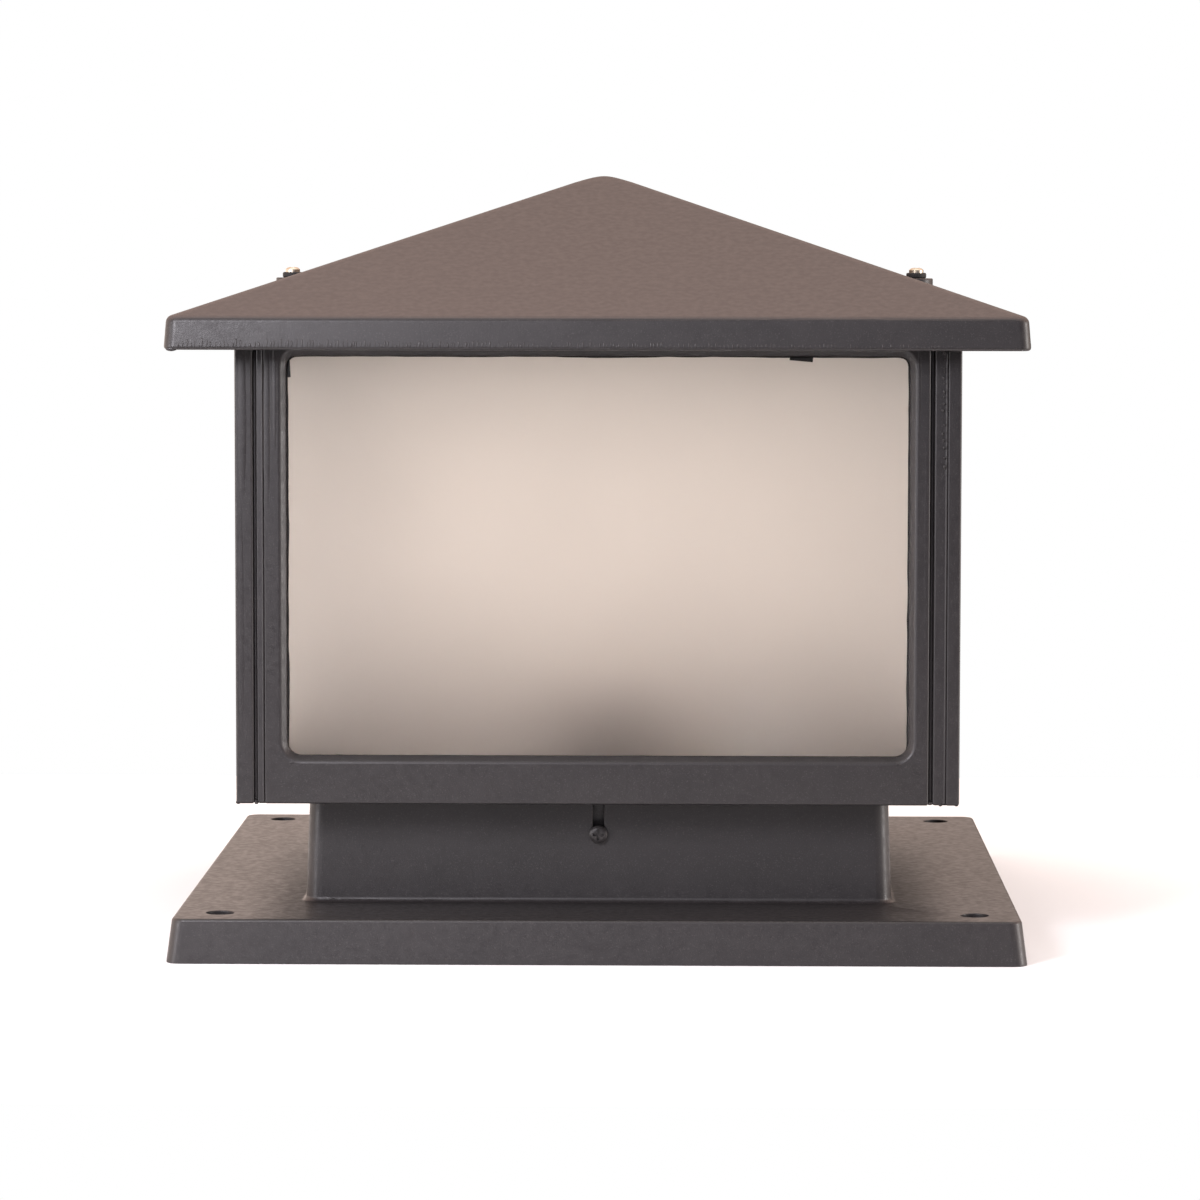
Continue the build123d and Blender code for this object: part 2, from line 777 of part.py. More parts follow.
def earth_lead():
    start_x = block_inner_x + block_hole_depth
    barrel_end = earth_y + earth_barrel_start + earth_barrel_length
    points = [
        (start_x, -block_pitch, wire_z),
        (block_inner_x - wire_straight, -block_pitch, wire_z),
        (earth_x, barrel_end + wire_straight, earth_wire_z),
        (earth_x, barrel_end, earth_wire_z),
    ]
    return lead(points)


def make_earth_tag():
    sheet_top = floor_top + earth_tag_sheet
    tag = rod(earth_ring_d, earth_x, earth_y, floor_top, sheet_top)
    barrel_start = earth_y + earth_barrel_start
    barrel_end = barrel_start + earth_barrel_length
    half = earth_barrel_d / 2
    tag += block(earth_x - half, earth_x + half, earth_y, barrel_end, floor_top, sheet_top)
    tag += rod_along_y(earth_barrel_d, earth_x, earth_wire_z, barrel_start, barrel_end)
    return tag - rod(screw_hole_d(small_screw_d), earth_x, earth_y, floor_top, sheet_top)


def make_earth_screw():
    return Pos(earth_x, earth_y, floor_top + earth_tag_sheet) * small_screw(earth_screw_length)


def make_grommet():
    low = floor_bottom - grommet_flange
    high = floor_top + grommet_flange
    grommet = rod(grommet_body_d, grommet_x, 0, floor_bottom, floor_top)
    grommet += rod(grommet_flange_d, grommet_x, 0, floor_top, high)
    grommet += rod(grommet_flange_d, grommet_x, 0, low, floor_bottom)
    return grommet - rod(grommet_bore_d, grommet_x, 0, low, high)


# One file for each node

front_frame = make_front_frame()
side_frame = make_side_frame()
pane = make_pane()
seal = make_seal()
side_names = ("front", "right", "back", "left")

nodes = {
    "pedestal": make_pedestal(),
    "lantern_floor": make_floor(),
    "pane_clips": make_clips(),
    "pane_clip_screws": make_clip_screws(),
    "corner_screws": make_joint_screws(),
    "floor_screws": make_floor_screws(),
    "neck_screws": make_neck_screws(),
    "roof": make_roof(),
    "roof_gasket": make_roof_gasket(),
    "roof_washers": make_roof_washers(),
    "roof_screws": make_roof_screws(),
    "holder_bracket": make_bracket(),
    "bracket_screws": make_bracket_screws(),
    "holder_body": make_holder_body(),
    "holder_screws": make_holder_screws(),
    "socket_shell": make_socket_shell(),
    "centre_contact": make_centre_contact(),
    "terminal_block": make_terminal_block(),
    "clamp_screws": make_clamp_screws(),
    "block_screws": make_block_screws(),
    "live_lead": holder_lead(0, 0),
    "neutral_lead": holder_lead(block_pitch, neutral_entry_offset),
    "earth_lead": earth_lead(),
    "earth_tag": make_earth_tag(),
    "earth_screw": make_earth_screw(),
    "cable_grommet": make_grommet(),
}
for index, side in enumerate(side_names):
    place = Rot(0, 0, 360 * index / len(side_names))
    nodes[side + "_frame"] = place * (side_frame if index % 2 else front_frame)
    nodes[side + "_pane"] = place * pane
    nodes[side + "_seal"] = place * seal

os.makedirs("parts", exist_ok=True)
for name, shape in nodes.items():
    solids = shape if isinstance(shape, list) else [shape]
    piece = solids[0] if len(solids) == 1 else Compound(children=solids)
    export_step(piece, "parts/" + name + ".step")
    print(name, len(solids))
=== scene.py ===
import json
import math
import random

import bmesh
import bpy
from mathutils import Euler, Matrix, Vector


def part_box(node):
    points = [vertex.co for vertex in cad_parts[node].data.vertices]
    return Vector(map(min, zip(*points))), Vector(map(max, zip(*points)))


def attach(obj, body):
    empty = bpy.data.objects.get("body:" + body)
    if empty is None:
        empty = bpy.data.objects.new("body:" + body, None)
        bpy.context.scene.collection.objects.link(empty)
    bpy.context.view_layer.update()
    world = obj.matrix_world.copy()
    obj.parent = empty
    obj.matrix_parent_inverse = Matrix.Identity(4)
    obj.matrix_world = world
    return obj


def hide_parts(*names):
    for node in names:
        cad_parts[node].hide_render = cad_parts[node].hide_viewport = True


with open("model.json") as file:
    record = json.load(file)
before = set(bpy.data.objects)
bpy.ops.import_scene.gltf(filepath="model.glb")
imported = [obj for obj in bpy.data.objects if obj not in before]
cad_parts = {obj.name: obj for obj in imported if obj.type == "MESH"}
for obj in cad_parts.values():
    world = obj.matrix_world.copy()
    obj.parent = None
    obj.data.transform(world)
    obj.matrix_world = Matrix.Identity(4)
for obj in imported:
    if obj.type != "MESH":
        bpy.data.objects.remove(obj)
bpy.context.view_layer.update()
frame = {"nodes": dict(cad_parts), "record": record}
cadNodes = frame["nodes"]
mm = 0.001
sideTurns = {"front": 0, "right": 90, "back": 180, "left": 270}
print("frame loaded:", len(cadNodes), "nodes")


# small helpers for node trees

def addNode(tree, kind, settings=None, inputs=None):
    made = tree.nodes.new(kind)
    for name, value in (settings or {}).items():
        setattr(made, name, value)
    for name, value in (inputs or {}).items():
        made.inputs[name].default_value = value
    return made


def join(tree, source, target):
    tree.links.new(source, target)


def mathNode(tree, operation, first, second=None):
    made = addNode(tree, "ShaderNodeMath", {"operation": operation})
    for slot, value in enumerate((first, second)):
        if value is None:
            continue
        if isinstance(value, (int, float)):
            made.inputs[slot].default_value = value
        else:
            join(tree, value, made.inputs[slot])
    return made.outputs[0]


def colourRamp(tree, source, stops):
    ramp = addNode(tree, "ShaderNodeValToRGB")
    elements = ramp.color_ramp.elements
    while len(elements) < len(stops):
        elements.new(0.5)
    for element, (place, colour) in zip(elements, stops):
        element.position = place
        element.color = (*colour, 1)
    join(tree, source, ramp.inputs["Fac"])
    return ramp.outputs["Color"]


def valueBetween(tree, source, low, high, fromLow=0.3, fromHigh=0.7):
    made = addNode(tree, "ShaderNodeMapRange", None, {
        "From Min": fromLow, "From Max": fromHigh, "To Min": low, "To Max": high})
    join(tree, source, made.inputs["Value"])
    return made.outputs["Result"]


def mixColours(tree, share, first, second):
    made = addNode(tree, "ShaderNodeMix", {"data_type": "RGBA"})
    join(tree, share, made.inputs["Factor"])
    for name, value in (("A", first), ("B", second)):
        if isinstance(value, tuple):
            made.inputs[name].default_value = (*value, 1)
        else:
            join(tree, value, made.inputs[name])
    return made.outputs["Result"]


def zOf(tree, vector):
    parts = addNode(tree, "ShaderNodeSeparateXYZ")
    join(tree, vector, parts.inputs["Vector"])
    return parts.outputs["Z"]


def noiseOn(tree, coords, scale, detail=2.0, roughness=0.5):
    made = addNode(tree, "ShaderNodeTexNoise", None, {
        "Scale": scale, "Detail": detail, "Roughness": roughness})
    join(tree, coords, made.inputs["Vector"])
    return made.outputs["Fac"]


def bumpOn(tree, height, distance, under=None):
    made = addNode(tree, "ShaderNodeBump", None, {"Strength": 1.0, "Distance": distance})
    join(tree, height, made.inputs["Height"])
    if under is not None:
        join(tree, under, made.inputs["Normal"])
    return made.outputs["Normal"]


def startFinish(name, colour, roughness, metallic=0.0):
    finish = bpy.data.materials.new(name)
    finish.use_nodes = True
    tree = finish.node_tree
    shader = tree.nodes["Principled BSDF"]
    shader.inputs["Base Color"].default_value = (*colour, 1)
    shader.inputs["Roughness"].default_value = roughness
    shader.inputs["Metallic"].default_value = metallic
    place = addNode(tree, "ShaderNodeTexCoord").outputs["Object"]
    return finish, tree, shader, place


# finishes

coat = {
    "dark": (0.0180, 0.0163, 0.0168),
    "light": (0.0228, 0.0206, 0.0211),
    "fleck": (0.060, 0.055, 0.056),
    "mottleScale": 55.0,
    "mottleRange": (0.30, 0.72),
    "grainScale": 1500.0,
    "peelScale": 420.0,
    "waveScale": 38.0,
    "fleckScale": 2100.0,
    "fleckShare": 0.55,
    "fleckRange": (0.60, 0.74),
    "roughLow": 0.36,
    "roughHigh": 0.47,
    # painted sheen: the paler, warm colour of the roof's upper faces, and the mask that also makes them
    # rougher
    "paintedSheen": (0.065, 0.0485, 0.0435),
    "dullGain": 0.22,
    "dullAndSheenFacing": (0.45, 0.75),
    "dullAndSheenRise": (0.224, 0.226),
    "grainDepth": 0.000032,
    "peelDepth": 0.000006,
    "waveDepth": 0.00006,
}


def makePowderCoat(name):
    finish, tree, shader, place = startFinish(name, coat["dark"], coat["roughLow"])
    mottle = noiseOn(tree, place, coat["mottleScale"], detail=4.0, roughness=0.6)
    grain = noiseOn(tree, place, coat["grainScale"], detail=2.0, roughness=0.6)
    peel = noiseOn(tree, place, coat["peelScale"], detail=1.0)
    wave = noiseOn(tree, place, coat["waveScale"], detail=2.0)
    fleck = noiseOn(tree, place, coat["fleckScale"], detail=1.0)
    base = colourRamp(tree, mottle, list(zip(coat["mottleRange"], (coat["dark"], coat["light"]))))
    # the roof's upper faces are made rougher and duller, and their paler, warm colour is a painted sheen
    # standing for the overhead light they reflect
    facing = addNode(tree, "ShaderNodeNewGeometry")
    upward = valueBetween(tree, zOf(tree, facing.outputs["True Normal"]), 0.0, 1.0, *coat["dullAndSheenFacing"])
    raised = valueBetween(tree, zOf(tree, place), 0.0, 1.0, *coat["dullAndSheenRise"])
    dullAndPaintedSheen = mathNode(tree, "MULTIPLY", upward, raised)
    # painted sheen: the roof's upward faces are mixed towards the paler colour
    withPaintedSheen = mixColours(tree, dullAndPaintedSheen, base, coat["paintedSheen"])
    fleckShare = valueBetween(tree, fleck, 0.0, coat["fleckShare"], *coat["fleckRange"])
    flecked = mixColours(tree, fleckShare, withPaintedSheen, coat["fleck"])
    join(tree, flecked, shader.inputs["Base Color"])
    rough = valueBetween(tree, peel, coat["roughLow"], coat["roughHigh"])
    rough = mathNode(tree, "ADD", rough, mathNode(tree, "MULTIPLY", dullAndPaintedSheen, coat["dullGain"]))
    join(tree, rough, shader.inputs["Roughness"])
    surface = bumpOn(tree, wave, coat["waveDepth"])
    surface = bumpOn(tree, peel, coat["peelDepth"], surface)
    surface = bumpOn(tree, grain, coat["grainDepth"], surface)
    join(tree, surface, shader.inputs["Normal"])
    return finish


frost = {
    "colour": (0.865, 0.865, 0.855),
    "roughLow": 0.61,
    "roughHigh": 0.67,
    "clearShare": 1.0,
    "etchScale": 900.0,
    "cloudScale": 26.0,
    "etchDepth": 0.000012,
    "bend": 1.30,
}


def makeFrostedGlass(name):
    finish, tree, shader, place = startFinish(name, frost["colour"], frost["roughLow"])
    shader.inputs["Transmission Weight"].default_value = frost["clearShare"]
    shader.inputs["IOR"].default_value = frost["bend"]
    cloud = noiseOn(tree, place, frost["cloudScale"], detail=3.0)
    etch = noiseOn(tree, place, frost["etchScale"], detail=2.0)
    join(tree, valueBetween(tree, cloud, frost["roughLow"], frost["roughHigh"]), shader.inputs["Roughness"])
    join(tree, bumpOn(tree, etch, frost["etchDepth"]), shader.inputs["Normal"])
    return finish


rubber = {
    "dark": (0.006, 0.006, 0.006),
    "dusty": (0.016, 0.015, 0.015),
    "rough": 0.70,
    "dustScale": 140.0,
    "dustRange": (0.40, 0.75),
    "poreScale": 2600.0,
    "poreDepth": 0.00002,
}


def makeRubber(name):
    finish, tree, shader, place = startFinish(name, rubber["dark"], rubber["rough"])
    dust = noiseOn(tree, place, rubber["dustScale"], detail=4.0, roughness=0.65)
    pore = noiseOn(tree, place, rubber["poreScale"], detail=1.0)
    colour = colourRamp(tree, dust, list(zip(rubber["dustRange"], (rubber["dark"], rubber["dusty"]))))
    join(tree, colour, shader.inputs["Base Color"])
    join(tree, bumpOn(tree, pore, rubber["poreDepth"]), shader.inputs["Normal"])
    return finish


metal = {"tarnishScale": 160.0, "scratchScale": 1900.0, "scratchDepth": 0.00001, "range": (0.35, 0.65)}


def makeMetal(name, dark, light, rough, brushAxis=None, metallic=1.0):
    finish, tree, shader, place = startFinish(name, dark, rough[0], metallic)
    if brushAxis is not None:  # drawn or turned metal: long streaks along one axis
        stretch = addNode(tree, "ShaderNodeMapping")
        stretch.inputs["Scale"].default_value = brushAxis
        join(tree, place, stretch.inputs["Vector"])
        place = stretch.outputs["Vector"]
    tarnish = noiseOn(tree, place, metal["tarnishScale"], detail=4.0, roughness=0.6)
    scratch = noiseOn(tree, place, metal["scratchScale"], detail=2.0)
    colour = colourRamp(tree, tarnish, list(zip(metal["range"], (dark, light))))
    join(tree, colour, shader.inputs["Base Color"])
    join(tree, valueBetween(tree, scratch, rough[0], rough[1]), shader.inputs["Roughness"])
    join(tree, bumpOn(tree, scratch, metal["scratchDepth"]), shader.inputs["Normal"])
    return finish


moulded = {"shadeScale": 70.0, "grainScale": 900.0, "grainDepth": 0.00001, "range": (0.35, 0.65)}
glaze = {"grainScale": 500.0, "grainDepth": 0.000006}


def makeMoulded(name, dark, light, rough, surface=moulded):
    finish, tree, shader, place = startFinish(name, dark, rough)
    shade = noiseOn(tree, place, moulded["shadeScale"], detail=3.0)
    grain = noiseOn(tree, place, surface["grainScale"], detail=2.0)
    colour = colourRamp(tree, shade, list(zip(moulded["range"], (dark, light))))
    join(tree, colour, shader.inputs["Base Color"])
    join(tree, bumpOn(tree, grain, surface["grainDepth"]), shader.inputs["Normal"])
    return finish


earthBands = {
    "green": (0.03, 0.16, 0.03),
    "yellow": (0.62, 0.50, 0.03),
    "plain": (0.05, 0.20, 0.03),
    "edge": (0.48, 0.52),
    "scale": 95.0,
    "distortion": 0.6,
    "rough": 0.42,
}


def makeEarthInsulation(name):
    finish, tree, shader, place = startFinish(name, earthBands["plain"], earthBands["rough"])
    band = addNode(tree, "ShaderNodeTexWave", {"bands_direction": "DIAGONAL"}, {
        "Scale": earthBands["scale"], "Distortion": earthBands["distortion"], "Detail": 1.0})
    join(tree, place, band.inputs["Vector"])
    stripes = colourRamp(tree, band.outputs["Fac"],
                         list(zip(earthBands["edge"], (earthBands["green"], earthBands["yellow"]))))
    join(tree, stripes, shader.inputs["Base Color"])
    return finish


finishes = {
    "powder_coat": makePowderCoat("graphitePowderCoat"),
    "frosted_glass": makeFrostedGlass("frostedGlass"),
    "seal_rubber": makeRubber("blackSealRubber"),
    "plated_steel": makeMetal("zincPlatedSteel", (0.42, 0.42, 0.41), (0.62, 0.62, 0.60), (0.28, 0.42),
                              brushAxis=(1, 6, 1)),
    "dark_screw": makeMetal("coatedScrewSteel", (0.030, 0.028, 0.028), (0.055, 0.050, 0.050), (0.34, 0.46),
                            metallic=0.25),
    "roof_screw": makeMetal("yellowZincSteel", (0.44, 0.38, 0.28), (0.62, 0.56, 0.46), (0.26, 0.40)),
    # the lamp holder's dark brown colour is painted shade, for the dark backlit shape it makes behind the
    # frosted glass
    "porcelain": makeMoulded("darkPorcelainPaintedShade", (0.040, 0.026, 0.020), (0.060, 0.040, 0.030), 0.16,
                             surface=glaze),
    "contact_brass": makeMetal("contactBrass", (0.60, 0.42, 0.16), (0.78, 0.60, 0.28), (0.22, 0.36),
                               brushAxis=(1, 1, 5)),
    "block_plastic": makeMoulded("terminalPlastic", (0.72, 0.72, 0.69), (0.80, 0.80, 0.77), 0.45),
    "live_insulation": makeMoulded("brownInsulation", (0.10, 0.035, 0.015), (0.14, 0.05, 0.02), 0.40),
    "neutral_insulation": makeMoulded("blueInsulation", (0.01, 0.045, 0.26), (0.015, 0.06, 0.34), 0.40),
    "earth_insulation": makeEarthInsulation("greenYellowInsulation"),
}
slotOf = {row["node"]: row["material_slot"] for row in frame["record"]["subparts"]}
for name, solid in cadNodes.items():
    solid.data.materials.clear()
    solid.data.materials.append(finishes[slotOf[name]])
print("finishes made:", len(finishes))


# pieces

def addPiece(name, mesh, body, slotName, *stoodFor):
    piece = bpy.data.objects.new(name, mesh)
    bpy.context.scene.collection.objects.link(piece)
    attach(piece, body)
    if stoodFor:
        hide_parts(*stoodFor)
    return piece


smoothing = {"usual": 40, "inner": 30, "thread": 50, "coat": 60, "normalWeight": 100}


def smoothByAngle(mesh, degrees=smoothing["usual"]):
    limit = math.radians(degrees)
    shape = bmesh.new()
    shape.from_mesh(mesh)
    for face in shape.faces:
        face.smooth = True
    for edge in shape.edges:
        edge.smooth = len(edge.link_faces) == 2 and edge.calc_face_angle(0) < limit
    shape.to_mesh(mesh)
    shape.free()


def evenNormals(piece):
    made = piece.modifiers.new("evenNormals", "WEIGHTED_NORMAL")
    made.keep_sharp = True
    made.weight = smoothing["normalWeight"]


casting = {
    "cornerAngle": 32,
    "flatAngle": 0.4,
    "merge": 0.001 * mm,
    "roundSteps": 3,
    "rounds": {"pedestal": 0.35 * mm, "roof": 0.45 * mm, "frame": 0.8 * mm, "block": 0.4 * mm},
    "bossAbove": 236 * mm,
    "bossBeyond": 100 * mm,
}


def mergePoints(source, mesh):
    shape = bmesh.new()
    shape.from_mesh(source)
    bmesh.ops.remove_doubles(shape, verts=shape.verts, dist=casting["merge"])
    shape.to_mesh(mesh)
    shape.free()


def softenedMesh(nodeName, name, edgeRound, chosen=None):
    # the solid's own shape, merged, with its hard edges rounded as a coated casting's are
    shape = bmesh.new()
    shape.from_mesh(cadNodes[nodeName].data)
    bmesh.ops.remove_doubles(shape, verts=shape.verts, dist=casting["merge"])
    bmesh.ops.dissolve_limit(shape, angle_limit=math.radians(casting["flatAngle"]),
                             verts=shape.verts, edges=shape.edges)
    bmesh.ops.connect_verts_concave(shape, faces=shape.faces)
    limit = math.radians(casting["cornerAngle"])
    corners = [edge for edge in shape.edges if len(edge.link_faces) == 2 and edge.calc_face_angle(0) > limit
               and (chosen is None or all(chosen(corner.co) for corner in edge.verts))]
    bmesh.ops.bevel(shape, geom=corners, offset=edgeRound, offset_type="OFFSET", affect="EDGES",
                    segments=casting["roundSteps"], profile=0.5, clamp_overlap=False)
    mesh = bpy.data.meshes.new(name)
    shape.to_mesh(mesh)
    shape.free()
    return mesh


def addCasting(nodeName, name, body, edgeRound, slotName="powder_coat", chosen=None):
    mesh = softenedMesh(nodeName, name, edgeRound, chosen)
    mesh.materials.append(finishes[slotName])
    smoothByAngle(mesh)
    piece = addPiece(name, mesh, body, slotName, nodeName)
    evenNormals(piece)
    return piece


tip = {"depth": 2.5 * mm, "blunt": 0.40, "slope": 0.3307, "rings": 9}


def roundTip(mesh):
    # the flat tip of the pyramid gives way to a soft crown that runs into the slopes
    shape = bmesh.new()
    shape.from_mesh(mesh)
    level = max(corner.co.z for corner in shape.verts) - tip["depth"]
    bmesh.ops.bisect_plane(shape, geom=shape.verts[:] + shape.edges[:] + shape.faces[:],
                           plane_co=(0, 0, level), plane_no=(0, 0, 1), clear_outer=True)
    rim = {corner for edge in shape.edges if len(edge.link_faces) == 1 for corner in edge.verts}
    rim = sorted(rim, key=lambda corner: math.atan2(corner.co.y, corner.co.x))
    half = max(abs(corner.co.x) for corner in rim)
    rise = tip["slope"] * half
    blunt = tip["blunt"]
    last = rim
    for step in range(1, tip["rings"]):
        share = 1 - step / tip["rings"]
        z = level + rise * (math.hypot(1, blunt) - math.hypot(share, blunt))
        ring = [shape.verts.new((corner.co.x * share, corner.co.y * share, z)) for corner in rim]
        for k in range(len(rim)):
            after = (k + 1) % len(rim)
            shape.faces.new((last[k], last[after], ring[after], ring[k]))
        last = ring
    top = shape.verts.new((0, 0, level + rise * (math.hypot(1, blunt) - blunt)))
    for k in range(len(rim)):
        shape.faces.new((last[k], last[(k + 1) % len(rim)], top))
    shape.to_mesh(mesh)
    shape.free()
    smoothByAngle(mesh)


def onBoss(place):
    # the two flat bosses under the roof screws
    return place.z > casting["bossAbove"] and abs(place.x) > casting["bossBeyond"]


addCasting("pedestal", "pedestalCasting", "pedestal", casting["rounds"]["pedestal"])
roundTip(addCasting("roof", "roofCasting", "roof", casting["rounds"]["roof"], chosen=onBoss).data)
for side in sideTurns:
    addCasting(side + "_frame", side + "FrameCasting", "lantern", casting["rounds"]["frame"])
addCasting("terminal_block", "terminalBlock", "lantern", casting["rounds"]["block"], "block_plastic")
print("castings softened")


pane = {"arris": 0.35 * mm, "arrisSteps": 2}


def addPane(side):
    low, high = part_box(side + "_pane")
    shape = bmesh.new()
    bmesh.ops.create_cube(shape, size=1.0)
    size = high - low
    bmesh.ops.transform(shape, matrix=Matrix.Translation((low + high) / 2) @ Matrix.Diagonal((*size, 1)),
                        verts=shape.verts)
    bmesh.ops.bevel(shape, geom=shape.edges[:], offset=pane["arris"], offset_type="OFFSET", affect="EDGES",
                    segments=pane["arrisSteps"], profile=0.5, clamp_overlap=True)
    mesh = bpy.data.meshes.new(side + "Pane")
    shape.to_mesh(mesh)
    shape.free()
    mesh.materials.append(finishes["frosted_glass"])
    addPiece(side + "Pane", mesh, "lantern", "frosted_glass", side + "_pane")


for side in sideTurns:
    addPane(side)
print("panes set")


# node trees for what repeats or follows a path

def startTree(name, numbers):
    tree = bpy.data.node_groups.new(name, "GeometryNodeTree")
    tree.interface.new_socket(name="points", in_out="INPUT", socket_type="NodeSocketGeometry")
    for number in numbers:
        tree.interface.new_socket(name=number, in_out="INPUT", socket_type="NodeSocketFloat")
    tree.interface.new_socket(name="finish", in_out="INPUT", socket_type="NodeSocketMaterial")
    tree.interface.new_socket(name="result", in_out="OUTPUT", socket_type="NodeSocketGeometry")
    return tree, addNode(tree, "NodeGroupInput").outputs


def endTree(tree, given, shape):
    plain = addNode(tree, "GeometryNodeRealizeInstances")
    join(tree, shape, plain.inputs["Geometry"])
    dressed = addNode(tree, "GeometryNodeSetMaterial")
    join(tree, plain.outputs["Geometry"], dressed.inputs["Geometry"])
    join(tree, given["finish"], dressed.inputs["Material"])
    join(tree, dressed.outputs["Geometry"], addNode(tree, "NodeGroupOutput").inputs["result"])
    return tree


def vectorOf(tree, x, y, z):
    made = addNode(tree, "ShaderNodeCombineXYZ")
    for slot, value in enumerate((x, y, z)):
        if isinstance(value, (int, float)):
            made.inputs[slot].default_value = value
        else:
            join(tree, value, made.inputs[slot])
    return made.outputs["Vector"]


def moved(tree, shape, offset):
    made = addNode(tree, "GeometryNodeTransform")
    join(tree, shape, made.inputs["Geometry"])
    join(tree, offset, made.inputs["Translation"])
    return made.outputs["Geometry"]


def namedVector(tree, name):
    made = addNode(tree, "GeometryNodeInputNamedAttribute", {"data_type": "FLOAT_VECTOR"})
    made.inputs["Name"].default_value = name
    return made.outputs["Attribute"]


def onPoints(tree, points, shape, turn=None, scale=None):
    made = addNode(tree, "GeometryNodeInstanceOnPoints")
    join(tree, points, made.inputs["Points"])
    join(tree, shape, made.inputs["Instance"])
    if turn is not None:
        spin = addNode(tree, "FunctionNodeEulerToRotation")
        join(tree, turn, spin.inputs["Euler"])
        join(tree, spin.outputs["Rotation"], made.inputs["Rotation"])
    if scale is not None:
        join(tree, scale, made.inputs["Scale"])
    return made.outputs["Instances"]


def evaluatedMesh(owner, name):
    bpy.context.view_layer.update()
    evaluated = owner.evaluated_get(bpy.context.evaluated_depsgraph_get())
    mesh = bpy.data.meshes.new_from_object(evaluated)
    mesh.name = name
    return mesh


def grownMesh(name, tree, values, spots, attributes=None):
    # runs a tree on a set of points and keeps the result as a plain mesh
    seeds = bpy.data.meshes.new(name + "Points")
    seeds.from_pydata(spots, [], [])
    for key, rows in (attributes or {}).items():
        layer = seeds.attributes.new(key, "FLOAT_VECTOR", "POINT")
        for item, row in zip(layer.data, rows):
            item.vector = row
    holder = bpy.data.objects.new(name + "Points", seeds)
    bpy.context.scene.collection.objects.link(holder)
    grower = holder.modifiers.new("grow", "NODES")
    grower.node_group = tree
    for item in tree.interface.items_tree:
        if item.item_type == "SOCKET" and item.in_out == "INPUT" and item.name in values:
            grower[item.identifier] = values[item.name]
    mesh = evaluatedMesh(holder, name)
    holder.modifiers.remove(grower)
    bpy.data.objects.remove(holder)
    return mesh


screwSizes = {
    "roof_screws": {"headDiameter": 5.5, "headHeight": 1.9, "dome": 0.9,
                    "shankDiameter": 3.0, "recessLength": 3.0},
    "neck_screws": {"headDiameter": 6.5, "headHeight": 2.2, "dome": 0.8,
                    "shankDiameter": 3.5, "recessLength": 4.0},
    "small": {"headDiameter": 5.4, "headHeight": 1.9, "dome": 0.8,
              "shankDiameter": 3.0, "recessLength": 3.0},
    "recessWidth": 1.05,
    "recessDepth": 1.4,
    "headSides": 40,
    "headSteps": 4,
    "headRings": 6,
    "shankSides": 24,
    "turnSpread": 0.6,
    "seed": 7,
}


def makeScrewTree():
    tree, given = startTree("panScrews", [
        "headDiameter", "headHeight", "dome", "shankDiameter", "shankLength",
        "recessLength", "recessWidth", "recessDepth"])
    head = addNode(tree, "GeometryNodeMeshCylinder", None, {
        "Vertices": screwSizes["headSides"], "Side Segments": screwSizes["headSteps"],
        "Fill Segments": screwSizes["headRings"]})
    headRadius = mathNode(tree, "MULTIPLY", given["headDiameter"], 0.5)
    join(tree, headRadius, head.inputs["Radius"])
    join(tree, given["headHeight"], head.inputs["Depth"])
    at = addNode(tree, "ShaderNodeSeparateXYZ")
    join(tree, addNode(tree, "GeometryNodeInputPosition").outputs["Position"], at.inputs["Vector"])
    square = mathNode(tree, "ADD", mathNode(tree, "MULTIPLY", at.outputs["X"], at.outputs["X"]),
                      mathNode(tree, "MULTIPLY", at.outputs["Y"], at.outputs["Y"]))
    share = mathNode(tree, "DIVIDE", square, mathNode(tree, "MULTIPLY", headRadius, headRadius))
    up = mathNode(tree, "ADD", mathNode(tree, "DIVIDE", at.outputs["Z"], given["headHeight"]), 0.5)
    bend = mathNode(tree, "MULTIPLY", mathNode(tree, "POWER", share, 2.0), up)
    fall = mathNode(tree, "MULTIPLY", bend, given["dome"])
    lift = mathNode(tree, "SUBTRACT", mathNode(tree, "MULTIPLY", given["headHeight"], 0.5), fall)
    domed = addNode(tree, "GeometryNodeSetPosition")
    join(tree, head.outputs["Mesh"], domed.inputs["Geometry"])
    join(tree, vectorOf(tree, 0.0, 0.0, lift), domed.inputs["Offset"])
    crossed = addNode(tree, "GeometryNodeMeshBoolean", {"operation": "DIFFERENCE", "solver": "EXACT"})
    join(tree, domed.outputs["Geometry"], crossed.inputs["Mesh 1"])
    deep = mathNode(tree, "MULTIPLY", given["recessDepth"], 2.0)
    long, wide = given["recessLength"], given["recessWidth"]
    for arms in ((long, wide), (wide, long)):
        slot = addNode(tree, "GeometryNodeMeshCube")
        join(tree, vectorOf(tree, *arms, deep), slot.inputs["Size"])
        join(tree, moved(tree, slot.outputs["Mesh"], vectorOf(tree, 0.0, 0.0, given["headHeight"])),
             crossed.inputs["Mesh 2"])
    shank = addNode(tree, "GeometryNodeMeshCylinder", None, {"Vertices": screwSizes["shankSides"]})
    join(tree, mathNode(tree, "MULTIPLY", given["shankDiameter"], 0.5), shank.inputs["Radius"])
    join(tree, given["shankLength"], shank.inputs["Depth"])
    whole = addNode(tree, "GeometryNodeJoinGeometry")
    join(tree, crossed.outputs["Mesh"], whole.inputs["Geometry"])
    down = vectorOf(tree, 0.0, 0.0, mathNode(tree, "MULTIPLY", given["shankLength"], -0.5))
    join(tree, moved(tree, shank.outputs["Mesh"], down), whole.inputs["Geometry"])
    placed = onPoints(tree, given["points"], whole.outputs["Geometry"], namedVector(tree, "turn"))
    return endTree(tree, given, placed)


def turnedRow(turn, place, spin):
    return turn @ Vector(place), (turn @ Euler(spin).to_matrix()).to_euler()


